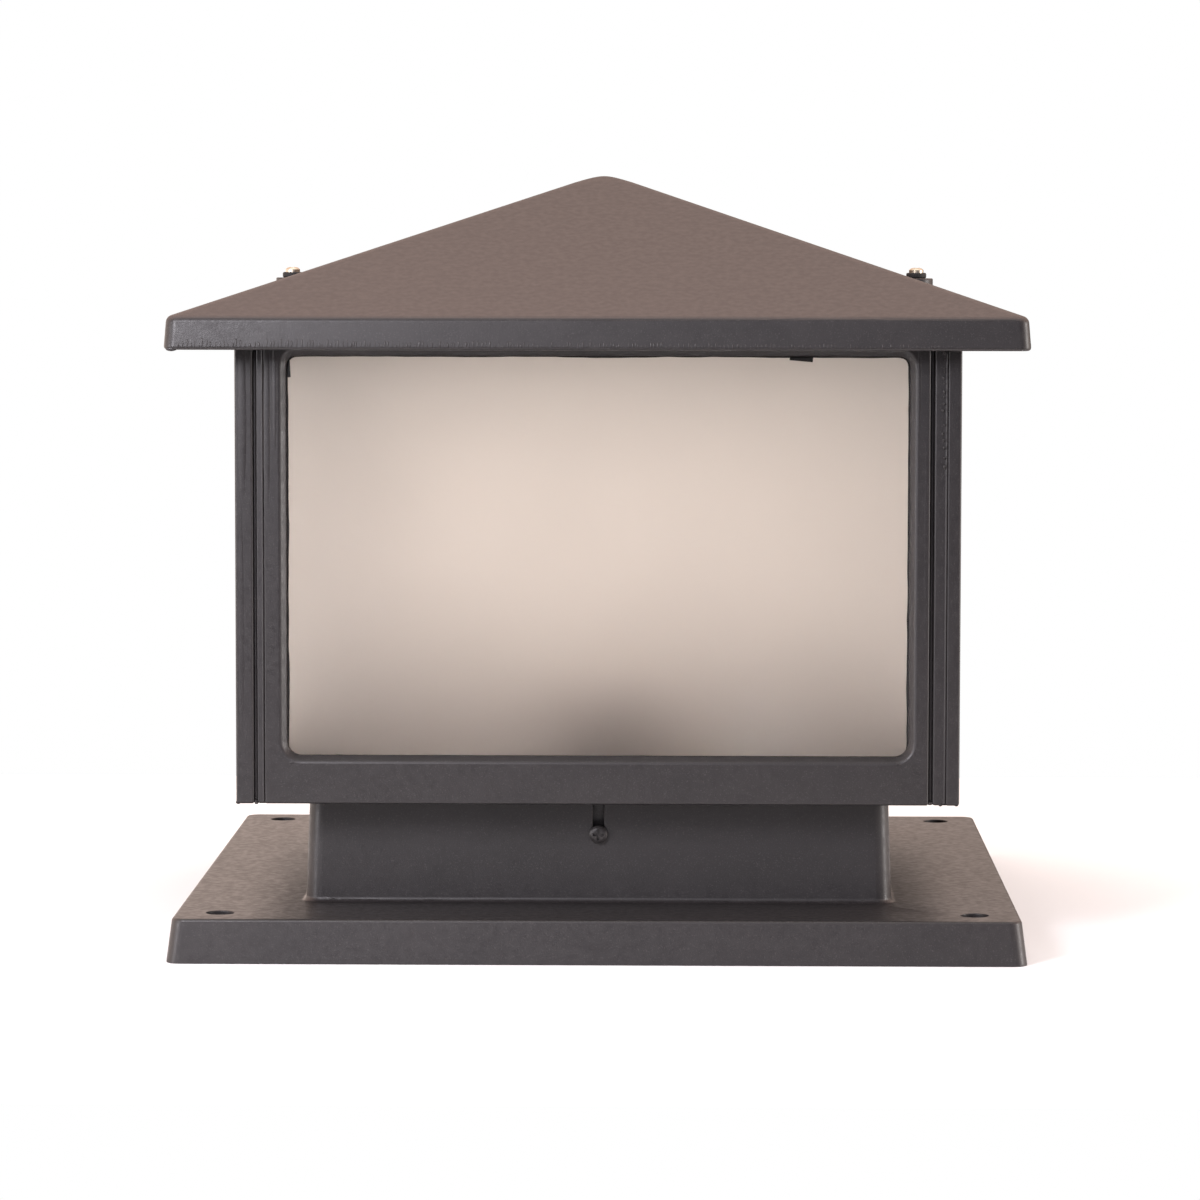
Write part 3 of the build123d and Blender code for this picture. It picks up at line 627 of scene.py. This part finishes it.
def roundFour(rows):
    # repeats places and turns given for the front on all four sides
    return [turnedRow(Matrix.Rotation(math.radians(turn), 3, "Z"), *row)
            for turn in sideTurns.values() for row in rows]


screwTree = makeScrewTree()
upright, headDown = (0, 0, 0), (math.pi, 0, 0)
toFront, toInside = (math.pi / 2, 0, 0), (-math.pi / 2, 0, 0)
toLeft, toRight = (0, -math.pi / 2, 0), (0, math.pi / 2, 0)
turnedTwice = Matrix.Rotation(math.pi, 3, "Z")


def twoFold(rows):
    return rows + [turnedRow(turnedTwice, *row) for row in rows]


def addScrews(nodeName, name, body, slotName, length, rows):
    size = screwSizes.get(nodeName, screwSizes["small"])
    dice = random.Random(screwSizes["seed"] + len(rows))
    spots, turns = [], []
    for place, spin in rows:
        twist = Euler((0, 0, dice.uniform(-1, 1) * screwSizes["turnSpread"])).to_matrix()
        spots.append(Vector(place) * mm)
        turns.append((Euler(spin).to_matrix() @ twist).to_euler())
    values = {key: part * mm for key, part in size.items()}
    values.update({key: screwSizes[key] * mm for key in ("recessWidth", "recessDepth")})
    values.update(shankLength=length * mm, finish=finishes[slotName])
    mesh = grownMesh(name, screwTree, values, spots, {"turn": turns})
    smoothByAngle(mesh)
    evenNormals(addPiece(name, mesh, body, slotName, nodeName))


screwAt = {
    "roofX": 118.3,
    "neckLength": 12.5,
    "clipY": -117.6,
    "clipLow": (52, 65.6),
    "clipHigh": (72, 219.3),
    "clipLength": 7.0,
    "cornerX": 115.1,
    "cornerY": -116.2,
    "cornerHeights": (80.7, 202.7),
    "cornerLength": 10.0,
    "floorX": 85,
    "floorY": -112.6,
    "floorZ": 55.7,
    "floorLength": 9.0,
    "bracketX": 33,
    "bracketZ": 60.7,
    "bracketLength": 8.0,
    "holderX": 12,
    "holderZ": 40.7,
    "holderLength": 9.0,
    "blockX": 62,
    "blockY": 5,
    "earthPlace": (34, -41),
}


def eachSide(reach):
    return (-reach, reach)


roofLow, roofHigh = (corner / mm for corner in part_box("roof_screws"))
roofSeat = roofHigh.z - screwSizes["roof_screws"]["headHeight"]
addScrews("roof_screws", "roofScrews", "roof", "roof_screw", roofSeat - roofLow.z,
          [((x, 0, roofSeat), upright) for x in eachSide(screwAt["roofX"])])
neckLow, neckHigh = (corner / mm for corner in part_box("neck_screws"))
neckSeat = neckLow.y + screwSizes["neck_screws"]["headHeight"]
addScrews("neck_screws", "neckScrews", "lantern", "dark_screw", screwAt["neckLength"],
          twoFold([((0, neckSeat, (neckLow.z + neckHigh.z) / 2), toFront)]))
addScrews("pane_clip_screws", "paneClipScrews", "lantern", "plated_steel", screwAt["clipLength"], roundFour(
    [((x, screwAt["clipY"], z), toInside) for reach, z in (screwAt["clipLow"], screwAt["clipHigh"])
     for x in eachSide(reach)]))
addScrews("corner_screws", "cornerScrews", "lantern", "plated_steel", screwAt["cornerLength"], twoFold(
    [((x, screwAt["cornerY"], z), spin) for x, spin in zip(eachSide(screwAt["cornerX"]), (toRight, toLeft))
     for z in screwAt["cornerHeights"]]))
addScrews("floor_screws", "floorScrews", "lantern", "plated_steel", screwAt["floorLength"], roundFour(
    [((x, screwAt["floorY"], screwAt["floorZ"]), headDown) for x in eachSide(screwAt["floorX"])]))
addScrews("bracket_screws", "bracketScrews", "lantern", "plated_steel", screwAt["bracketLength"],
          [((x, 0, screwAt["bracketZ"]), upright) for x in eachSide(screwAt["bracketX"])])
addScrews("holder_screws", "holderScrews", "lantern", "plated_steel", screwAt["holderLength"],
          [((x, 0, screwAt["holderZ"]), headDown) for x in eachSide(screwAt["holderX"])])
blockLow, blockHigh = (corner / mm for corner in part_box("block_screws"))
blockSeat = blockHigh.z - screwSizes["small"]["headHeight"]
addScrews("block_screws", "blockScrews", "lantern", "plated_steel", blockSeat - blockLow.z,
          [((screwAt["blockX"], y, blockSeat), upright) for y in eachSide(screwAt["blockY"])])
earthLow, earthHigh = (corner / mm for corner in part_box("earth_screw"))
earthSeat = earthHigh.z - screwSizes["small"]["headHeight"]
addScrews("earth_screw", "earthScrew", "lantern", "plated_steel", earthSeat - earthLow.z,
          [((*screwAt["earthPlace"], earthSeat), upright)])
print("screws set")


# other inner pieces keep their own shape, merged and smoothed

innerPieces = {
    "lantern_floor": "lanternFloor",
    "pane_clips": "paneClips",
    "roof_gasket": "roofGasket",
    "holder_bracket": "holderBracket",
    "holder_body": "holderBody",
    "centre_contact": "centreContact",
    "clamp_screws": "clampScrews",
    "cable_grommet": "cableGrommet",
    "earth_tag": "earthTag",
}
for nodeName, name in innerPieces.items():
    mesh = bpy.data.meshes.new(name)
    mergePoints(cadNodes[nodeName].data, mesh)
    mesh.materials.append(finishes[slotOf[nodeName]])
    smoothByAngle(mesh, smoothing["inner"])
    evenNormals(addPiece(name, mesh, "lantern", slotOf[nodeName], nodeName))
print("inner pieces set")


seal = {
    "pathWidth": 223.0,
    "pathHeight": 145.1,
    "pathMiddle": 142.05,
    "setback": 124.1,
    "cornerRadius": 4.6,
    "cornerSteps": 8,
    "pathSteps": 420,
    "width": 3.0,
    "depth": 1.98,
    "wave": 0.55,
    "waveScale": 55.0,
    "tailPlace": (72.0, 70.75),
    "tailSize": (8.2, 1.9),
    "tailSlope": -0.085,
    "endPlace": (-109.95, 67.2),
    "endSize": (1.3, 6.8),
    "endSlope": 0.05,
}


def makeSealTree():
    tree, given = startTree("glazingSeals", [
        "pathWidth", "pathHeight", "cornerRadius", "width", "depth", "wave", "waveScale",
        "tailX", "tailY", "tailWidth", "tailHeight", "tailSlope",
        "endX", "endY", "endWidth", "endHeight", "endSlope"])
    path = addNode(tree, "GeometryNodeCurvePrimitiveQuadrilateral")
    join(tree, given["pathWidth"], path.inputs["Width"])
    join(tree, given["pathHeight"], path.inputs["Height"])
    rounded = addNode(tree, "GeometryNodeFilletCurve", {"mode": "POLY"}, {
        "Count": seal["cornerSteps"], "Limit Radius": True})
    join(tree, path.outputs["Curve"], rounded.inputs["Curve"])
    join(tree, given["cornerRadius"], rounded.inputs["Radius"])
    stepped = addNode(tree, "GeometryNodeResampleCurve", None, {"Count": seal["pathSteps"]})
    join(tree, rounded.outputs["Curve"], stepped.inputs["Curve"])
    waves = addNode(tree, "ShaderNodeTexNoise", None, {"Detail": 2.0})
    join(tree, given["waveScale"], waves.inputs["Scale"])
    middle = addNode(tree, "ShaderNodeVectorMath", {"operation": "SUBTRACT"})
    join(tree, waves.outputs["Color"], middle.inputs[0])
    middle.inputs[1].default_value = (0.5, 0.5, 0.5)
    sway = addNode(tree, "ShaderNodeVectorMath", {"operation": "MULTIPLY"})
    join(tree, middle.outputs["Vector"], sway.inputs[0])
    reach = mathNode(tree, "MULTIPLY", given["wave"], 2.0)
    join(tree, vectorOf(tree, reach, reach, 0.0), sway.inputs[1])
    wavy = addNode(tree, "GeometryNodeSetPosition")
    join(tree, stepped.outputs["Curve"], wavy.inputs["Geometry"])
    join(tree, sway.outputs["Vector"], wavy.inputs["Offset"])
    level = addNode(tree, "GeometryNodeSetCurveNormal", {"mode": "Z_UP"})
    join(tree, wavy.outputs["Geometry"], level.inputs["Curve"])
    profile = addNode(tree, "GeometryNodeCurvePrimitiveQuadrilateral")
    join(tree, given["width"], profile.inputs["Width"])
    join(tree, given["depth"], profile.inputs["Height"])
    swept = addNode(tree, "GeometryNodeCurveToMesh")
    join(tree, level.outputs["Curve"], swept.inputs["Curve"])
    join(tree, profile.outputs["Curve"], swept.inputs["Profile Curve"])
    whole = addNode(tree, "GeometryNodeJoinGeometry")
    join(tree, swept.outputs["Mesh"], whole.inputs["Geometry"])
    for tab in ("tail", "end"):  # the strip's loose tail, and its cut end in the upper left corner
        bit = addNode(tree, "GeometryNodeMeshCube")
        size = vectorOf(tree, given[tab + "Width"], given[tab + "Height"], given["depth"])
        join(tree, size, bit.inputs["Size"])
        tilted = addNode(tree, "GeometryNodeTransform")
        join(tree, bit.outputs["Mesh"], tilted.inputs["Geometry"])
        join(tree, vectorOf(tree, given[tab + "X"], given[tab + "Y"], 0.0), tilted.inputs["Translation"])
        spin = addNode(tree, "FunctionNodeEulerToRotation")
        join(tree, vectorOf(tree, 0.0, 0.0, given[tab + "Slope"]), spin.inputs["Euler"])
        join(tree, spin.outputs["Rotation"], tilted.inputs["Rotation"])
        join(tree, tilted.outputs["Geometry"], whole.inputs["Geometry"])
    placed = onPoints(tree, given["points"], whole.outputs["Geometry"], namedVector(tree, "turn"))
    return endTree(tree, given, placed)


def addSeals():
    spots, turns = zip(*roundFour([((0, -seal["setback"], seal["pathMiddle"]), toFront)]))
    lengths = ("pathWidth", "pathHeight", "cornerRadius", "width", "depth", "wave")
    values = {key: seal[key] * mm for key in lengths}
    values.update(waveScale=seal["waveScale"], finish=finishes["seal_rubber"])
    for tab in ("tail", "end"):
        values[tab + "X"], values[tab + "Y"] = (part * mm for part in seal[tab + "Place"])
        values[tab + "Width"], values[tab + "Height"] = (part * mm for part in seal[tab + "Size"])
        values[tab + "Slope"] = seal[tab + "Slope"]
    mesh = grownMesh("glazingSeals", makeSealTree(), values, [spot * mm for spot in spots], {"turn": turns})
    smoothByAngle(mesh)
    addPiece("glazingSeals", mesh, "lantern", "seal_rubber", *(side + "_seal" for side in sideTurns))


addSeals()
print("seals swept")


washer = {"outer": 7.6, "hole": 3.4, "thickness": 2.1, "edgeRound": 0.6, "around": 48, "roundSteps": 4}


def makeWasherTree():
    tree, given = startTree("rubberWashers", ["outer", "hole", "thickness", "edgeRound"])
    path = addNode(tree, "GeometryNodeCurvePrimitiveCircle", None, {"Resolution": washer["around"]})
    join(tree, mathNode(tree, "MULTIPLY", mathNode(tree, "ADD", given["outer"], given["hole"]), 0.25),
         path.inputs["Radius"])
    profile = addNode(tree, "GeometryNodeCurvePrimitiveQuadrilateral")
    join(tree, mathNode(tree, "MULTIPLY", mathNode(tree, "SUBTRACT", given["outer"], given["hole"]), 0.5),
         profile.inputs["Width"])
    join(tree, given["thickness"], profile.inputs["Height"])
    rounded = addNode(tree, "GeometryNodeFilletCurve", {"mode": "POLY"}, {
        "Count": washer["roundSteps"], "Limit Radius": True})
    join(tree, profile.outputs["Curve"], rounded.inputs["Curve"])
    join(tree, given["edgeRound"], rounded.inputs["Radius"])
    level = addNode(tree, "GeometryNodeSetCurveNormal", {"mode": "Z_UP"})
    join(tree, path.outputs["Curve"], level.inputs["Curve"])
    swept = addNode(tree, "GeometryNodeCurveToMesh")
    join(tree, level.outputs["Curve"], swept.inputs["Curve"])
    join(tree, rounded.outputs["Curve"], swept.inputs["Profile Curve"])
    return endTree(tree, given, onPoints(tree, given["points"], swept.outputs["Mesh"]))


def addWashers():
    middle = roofSeat - washer["thickness"] / 2
    values = {key: washer[key] * mm for key in ("outer", "hole", "thickness", "edgeRound")}
    values["finish"] = finishes["seal_rubber"]
    mesh = grownMesh("roofWashers", makeWasherTree(), values,
                     [Vector((x, 0, middle)) * mm for x in eachSide(screwAt["roofX"])])
    smoothByAngle(mesh)
    addPiece("roofWashers", mesh, "roof", "seal_rubber", "roof_washers")


addWashers()
print("washers set")


# coating: beads at the posts' feet and the window corners, specks and long runs down the posts,
# the paint that bridges the corner joints, and rough trim marks along the fascia's foot

bead = {
    "postBeads": [((-128.0, -127.6, 54.5), (1.0, 0.8, 0.7)), ((-121.5, -128.0, 54.3), (0.7, 0.5, 0.5)),
                  ((122.0, -128.0, 54.3), (0.7, 0.5, 0.5)), ((127.7, -127.7, 54.4), (0.8, 0.7, 0.6)),
                  ((-121.75, -126.6, 54.85), (0.95, 1.8, 0.74)), ((118.4, -126.6, 54.85), (1.15, 1.8, 0.74))],
    "cornerBeads": [((-112.3, -128.0, 71.0), (0.6, 0.6, 0.8)), ((-108.9, -128.5, 68.9), (1.1, 0.4, 0.45)),
                    ((109.8, -128.0, 70.4), (0.7, 0.6, 0.6)), ((107.0, -128.5, 68.9), (0.8, 0.4, 0.4))],
    "longRuns": [((-126.0, -128.62, 192.0), (1.7, 0.26, 34.0)), ((-117.2, -128.62, 190.0), (1.3, 0.24, 36.0)),
                 ((-114.4, -128.62, 201.0), (0.9, 0.22, 23.0)), ((113.6, -128.60, 204.0), (0.8, 0.20, 20.0)),
                 ((-126.6, -128.62, 118.0), (1.2, 0.16, 52.0)), ((116.2, -128.62, 150.0), (0.9, 0.12, 60.0))],
    "specksAt": 122.2,
    "specksFrom": 168.0,
    "specksTo": 222.0,
    "specks": 26,
    "speckSize": (0.16, 0.42),
    "speckTall": (1.0, 2.4),
    "speckDeep": 0.26,
    "speckFace": -128.62,
    "speckSway": 0.5,
    "speckDrift": 0.8,
    "speckCrowd": 1.6,
    "roofBead": ((-148.6, -150.6, 216.5), (2.0, 0.7, 0.8)),
    "bridges": [((-121.75, -126.30), 0.66), ((118.4, -125.90), 0.86)],
    "bridgeSides": 20,
    "bridgeFrom": 54.6,
    "bridgeTo": 224.0,
    "marksFrom": -146.0,
    "marksTo": 120.0,
    "marksPitch": 1.35,
    "marksSpread": (0.6, 1.4),
    "marksFade": 0.6,
    "markFoot": 217.2,
    "markFace": 151.50,
    "markLean": 0.078,
    "markWide": (0.22, 0.42),
    "markTall": (0.5, 1.7),
    "markProud": 0.16,
    "ballSteps": 2,
    "seed": 21,
}


def makeBeadTree():
    tree, given = startTree("coatBeads", ["radius"])
    ball = addNode(tree, "GeometryNodeMeshIcoSphere", None, {"Subdivisions": bead["ballSteps"]})
    join(tree, given["radius"], ball.inputs["Radius"])
    placed = onPoints(tree, given["points"], ball.outputs["Mesh"],
                      namedVector(tree, "turn"), namedVector(tree, "size"))
    return endTree(tree, given, placed)


def makeBridgeTree():
    tree, given = startTree("jointBridges", ["radius", "length"])
    rod = addNode(tree, "GeometryNodeMeshCylinder", None, {"Vertices": bead["bridgeSides"]})
    join(tree, given["radius"], rod.inputs["Radius"])
    join(tree, given["length"], rod.inputs["Depth"])
    placed = onPoints(tree, given["points"], rod.outputs["Mesh"], None, namedVector(tree, "size"))
    return endTree(tree, given, placed)


def addCoat(name, body, mesh):
    smoothByAngle(mesh, smoothing["coat"])
    addPiece(name, mesh, body, "powder_coat")


def addBeads(name, body, rows):
    spots, turns, sizes = zip(*rows)
    addCoat(name, body, grownMesh(name, beadTree, {"radius": mm, "finish": finishes["powder_coat"]},
                                  [Vector(spot) * mm for spot in spots], {"turn": turns, "size": sizes}))


def addBridges(name, body):
    middle = (bead["bridgeFrom"] + bead["bridgeTo"]) / 2
    length = (bead["bridgeTo"] - bead["bridgeFrom"]) * mm
    rows = [(Vector((*spot, middle)), radius) for spot, radius in bead["bridges"]]
    rows += [(turnedTwice @ place, radius) for place, radius in rows]
    addCoat(name, body, grownMesh(
        name, makeBridgeTree(), {"radius": mm, "length": length, "finish": finishes["powder_coat"]},
        [place * mm for place, radius in rows], {"size": [(radius, radius, 1) for place, radius in rows]}))


def coatSpecks():
    dice = random.Random(bead["seed"] + 1)
    rows = []
    for step in range(bead["specks"]):
        fallen = (step / bead["specks"]) ** bead["speckCrowd"]
        z = bead["specksTo"] - (bead["specksTo"] - bead["specksFrom"]) * fallen
        small = dice.uniform(*bead["speckSize"])
        x = bead["specksAt"] + dice.uniform(*eachSide(bead["speckSway"]))
        place = (x, bead["speckFace"], z + dice.uniform(*eachSide(bead["speckDrift"])))
        rows.append((place, (small, bead["speckDeep"], small * dice.uniform(*bead["speckTall"]))))
    return rows


def trimMarks():
    dice = random.Random(bead["seed"])
    rows = []
    for turn in sideTurns.values():
        spun = Matrix.Rotation(math.radians(turn), 3, "Z")
        lean = (spun @ Euler((-bead["markLean"], 0, 0)).to_matrix()).to_euler()
        x = bead["marksFrom"]
        while x < bead["marksTo"]:
            along = (x - bead["marksFrom"]) / (bead["marksTo"] - bead["marksFrom"])
            fade = 1 - bead["marksFade"] * along
            tall = dice.uniform(*bead["markTall"]) * fade
            place = Vector((x, -bead["markFace"] + bead["markLean"] * tall, bead["markFoot"] + tall))
            rows.append((spun @ place, lean, (dice.uniform(*bead["markWide"]), bead["markProud"], tall)))
            x += bead["marksPitch"] * dice.uniform(*bead["marksSpread"])
    return rows


def bothFaces(rows):
    return [(turn @ Vector(place), upright, size)
            for turn in (turnedTwice, Matrix.Identity(3)) for place, size in rows]


beadTree = makeBeadTree()
addBeads("postCoatBeads", "lantern", bothFaces(bead["postBeads"] + bead["cornerBeads"] + coatSpecks()))
addBeads("postCoatRuns", "lantern", bothFaces(bead["longRuns"]))
addBridges("jointCoatBridges", "lantern")
addBeads("roofCoatBead", "roof", [(bead["roofBead"][0], upright, bead["roofBead"][1])])
addBeads("fasciaTrimMarks", "roof", trimMarks())
print("coat beads set")


lead = {
    "diameter": 2.2,
    "roundSteps": 4,
    "order": 4,
    "steps": 14,
    "routes": {
        "live_lead": ("liveLead", [(57, 0, 65.2), (44, 0, 65.2), (34, 0, 70.7), (17.5, 0, 70.7)]),
        "neutral_lead": ("neutralLead", [(57, 10, 65.2), (44, 10, 65.2), (34, 8, 70.7), (17.5, 8, 70.7)]),
        "earth_lead": ("earthLead", [(57, -10, 65.2), (44, -10, 65.2), (34, -21, 61.4), (34, -30, 61.4)]),
    },
}


def addLead(nodeName, name, route):
    wire = bpy.data.curves.new(name, "CURVE")
    wire.dimensions = "3D"
    wire.bevel_depth = lead["diameter"] / 2 * mm
    wire.bevel_resolution = lead["roundSteps"]
    wire.resolution_u = lead["steps"]
    wire.use_fill_caps = True
    path = wire.splines.new("NURBS")
    path.points.add(len(route) - 1)
    for point, place in zip(path.points, route):
        point.co = (*(Vector(place) * mm), 1)
    path.order_u = lead["order"]
    path.use_endpoint_u = True
    drawn = bpy.data.objects.new(name + "Path", wire)
    bpy.context.scene.collection.objects.link(drawn)
    mesh = evaluatedMesh(drawn, name)
    bpy.data.objects.remove(drawn)
    mergePoints(mesh, mesh)
    mesh.materials.clear()
    mesh.materials.append(finishes[slotOf[nodeName]])
    smoothByAngle(mesh)
    addPiece(name, mesh, "lantern", slotOf[nodeName], nodeName)


for nodeName, (name, route) in lead["routes"].items():
    addLead(nodeName, name, route)
print("leads drawn")


shell = {
    "bore": 13.4,
    "threadDepth": 0.5,
    "pitch": 3.6,
    "wall": 0.5,
    "floorHole": 7.0,
    "floorThickness": 1.1,
    "around": 96,
    "up": 110,
}


def addSocketShell():
    # rolled thread: both skins of the thin sheet follow the same helix, and the floor closes in to its hole
    low, high = (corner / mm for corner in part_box("socket_shell"))
    rounds, ups = shell["around"], shell["up"]
    span = high.z - low.z
    rings = []

    def ring(radiusAt, z):
        angles = [2 * math.pi * k / rounds for k in range(rounds)]
        rings.append([(radiusAt(angle), angle, z) for angle in angles])

    def thread(base, z):
        fade = min(1.0, (z - low.z) / shell["pitch"], (high.z - z) / shell["pitch"])
        return lambda angle: base + shell["threadDepth"] / 2 * (
            1 + fade * math.sin(2 * math.pi * (z - low.z) / shell["pitch"] - angle))

    for step in range(ups + 1):
        ring(thread(shell["bore"] + shell["wall"], low.z + span * step / ups), low.z + span * step / ups)
    inside = low.z + shell["floorThickness"]
    for step in range(ups, -1, -1):
        z = inside + (high.z - inside) * step / ups
        ring(thread(shell["bore"], z), z)
    ring(lambda angle: shell["floorHole"], inside)
    ring(lambda angle: shell["floorHole"], low.z)
    spots = [(r * math.cos(a) * mm, r * math.sin(a) * mm, z * mm) for row in rings for r, a, z in row]
    faces = []
    for row in range(len(rings)):
        after = (row + 1) % len(rings)
        for k in range(rounds):
            nextK = (k + 1) % rounds
            faces.append((row * rounds + k, row * rounds + nextK, after * rounds + nextK, after * rounds + k))
    mesh = bpy.data.meshes.new("socketShell")
    mesh.from_pydata(spots, [], faces)
    mesh.materials.append(finishes["contact_brass"])
    smoothByAngle(mesh, smoothing["thread"])
    addPiece("socketShell", mesh, "lantern", "contact_brass", "socket_shell")


addSocketShell()
print("threaded shell set")


# camera at the photograph's place

view = {
    "place": (31.5 * mm, -1829.2 * mm, 262.2 * mm),
    "pitch": 0.0792,
    "yaw": -0.0180,
    "roll": 0.0012,
    "focalPixels": 4810.5,
    "framePixels": 1200,
    "sensor": 36.0,
    "clip": (0.05, 60),
}


def addCamera():
    lens = bpy.data.cameras.new("photoCamera")
    lens.sensor_width = view["sensor"]
    lens.lens = view["focalPixels"] / view["framePixels"] * view["sensor"]
    lens.clip_start, lens.clip_end = view["clip"]
    camera = bpy.data.objects.new("photoCamera", lens)
    level = math.cos(view["pitch"])
    ahead = Vector((math.sin(view["yaw"]) * level, math.cos(view["yaw"]) * level, -math.sin(view["pitch"])))
    turn = ahead.to_track_quat("-Z", "Y").to_matrix().to_4x4()
    camera.matrix_world = Matrix.Translation(view["place"]) @ turn @ Matrix.Rotation(view["roll"], 4, "Z")
    bpy.context.scene.collection.objects.link(camera)
    bpy.context.scene.camera = camera


addCamera()


# studio: a pale table, a bright surround behind, a near softbox on the left, a weak one in front
# and a tall strip on each side for the edges

studio = {
    "tableSize": 0.84,
    "tableColour": (0.90, 0.925, 0.95),
    "tableRough": 0.9,
    "surroundLevel": 1.0,
    "backdropColour": (1.0, 1.0, 1.0),
    "frontColour": (0.40, 0.38, 0.44),
    "backColour": (1.14, 0.94, 0.83),
    "upperBackColour": (1.42, 1.03, 0.87),
    "topColour": (2.0, 1.92, 1.85),
    "lowFrontColour": (0.04, 0.04, 0.045),
    "lowBackColour": (1.05, 0.90, 0.81),
    "sideGain": 1.7,
    "lowLeftGain": 0.78,
    "highLeftGain": -0.03,
    "horizon": (-0.05, 0.0),
    "upperRise": (0.15, 0.55),
    "topRise": (0.78, 0.92),
    "frontToBack": (-0.75, -0.10),
    "sideReach": (0.6, 0.95),
    "leftRise": (0.10, 0.40),
    "leftDepth": (0.3, 0.8),
    "leftReach": (-0.18, 0.18),
    "lights": {
        "key": {"place": (-0.34, -0.745, 0.42), "aim": (-0.10, -0.15, 0.20), "size": (0.20, 0.20),
                "power": 4.5, "colour": (0.97, 0.94, 1.0)},
        "strip": {"place": (-0.20, -1.40, 0.50), "aim": (-0.02, -0.15, 0.05), "size": (1.00, 0.20),
                  "power": 0.9, "colour": (1.0, 0.95, 0.98)},
        "leftEdge": {"place": (-0.95, -0.66, 0.17), "aim": (-0.12, -0.12, 0.12), "size": (0.16, 0.32),
                     "power": 2.8, "colour": (0.98, 0.96, 1.0)},
        "rightEdge": {"place": (1.15, -0.24, 0.22), "aim": (0.12, -0.12, 0.14), "size": (0.16, 0.50),
                      "power": 6.0, "colour": (1.0, 0.97, 0.96)},
    },
}


def addFloor():
    half = studio["tableSize"] / 2
    mesh = bpy.data.meshes.new("paleFloor")
    corners = [(-half, -half, 0), (half, -half, 0), (half, half, 0), (-half, half, 0)]
    mesh.from_pydata(corners, [], [(0, 1, 2, 3)])
    finish, tree, shader, place = startFinish("paleFloor", studio["tableColour"], studio["tableRough"])
    shader.inputs["Specular IOR Level"].default_value = 0.0
    mesh.materials.append(finish)
    floor = bpy.data.objects.new("paleFloor", mesh)
    bpy.context.scene.collection.objects.link(floor)


def addSurround():
    world = bpy.data.worlds.new("studioSurround")
    world.use_nodes = True
    tree = world.node_tree
    facing = addNode(tree, "ShaderNodeSeparateXYZ")
    join(tree, addNode(tree, "ShaderNodeTexCoord").outputs["Generated"], facing.inputs["Vector"])
    x, y, z = (facing.outputs[axis] for axis in "XYZ")
    high = valueBetween(tree, z, 0.0, 1.0, *studio["upperRise"])
    back = mixColours(tree, high, studio["backColour"], studio["upperBackColour"])
    behind = valueBetween(tree, y, 0.0, 1.0, *studio["frontToBack"])
    around = mixColours(tree, behind, studio["frontColour"], back)
    low = mixColours(tree, behind, studio["lowFrontColour"], studio["lowBackColour"])
    around = mixColours(tree, valueBetween(tree, z, 0.0, 1.0, *studio["horizon"]), low, around)
    gain = valueBetween(tree, z, studio["lowLeftGain"], studio["highLeftGain"], *studio["leftRise"])
    gain = mathNode(tree, "MULTIPLY", gain, valueBetween(tree, y, 0.0, 1.0, *studio["leftDepth"]))
    leftness = valueBetween(tree, x, 1.0, -1.0, *studio["leftReach"])
    beside = valueBetween(tree, mathNode(tree, "ABSOLUTE", x), 1.0, studio["sideGain"], *studio["sideReach"])
    sideGain = mathNode(tree, "ADD", mathNode(tree, "MULTIPLY", gain, leftness), beside)
    tilted = addNode(tree, "ShaderNodeVectorMath", {"operation": "SCALE"})
    join(tree, around, tilted.inputs["Vector"])
    join(tree, sideGain, tilted.inputs["Scale"])
    above = valueBetween(tree, z, 0.0, 1.0, *studio["topRise"])
    around = mixColours(tree, above, tilted.outputs["Vector"], studio["topColour"])
    seen = addNode(tree, "ShaderNodeLightPath").outputs["Is Camera Ray"]
    shown = tree.nodes["Background"]
    join(tree, mixColours(tree, seen, around, studio["backdropColour"]), shown.inputs["Color"])
    shown.inputs["Strength"].default_value = studio["surroundLevel"]
    bpy.context.scene.world = world


def addSoftbox(name, given):
    light = bpy.data.lights.new(name + "Softbox", "AREA")
    light.shape = "RECTANGLE"
    light.size, light.size_y = given["size"]
    light.energy = given["power"]
    light.color = given["colour"]
    lamp = bpy.data.objects.new(name + "Softbox", light)
    lamp.location = given["place"]
    lamp.rotation_mode = "QUATERNION"
    lamp.rotation_quaternion = (Vector(given["aim"]) - lamp.location).to_track_quat("-Z", "Y")
    lamp.visible_camera = False
    bpy.context.scene.collection.objects.link(lamp)


addFloor()
addSurround()
for name, given in studio["lights"].items():
    addSoftbox(name, given)
bpy.context.scene.view_settings.view_transform = "Standard"
print("studio set")
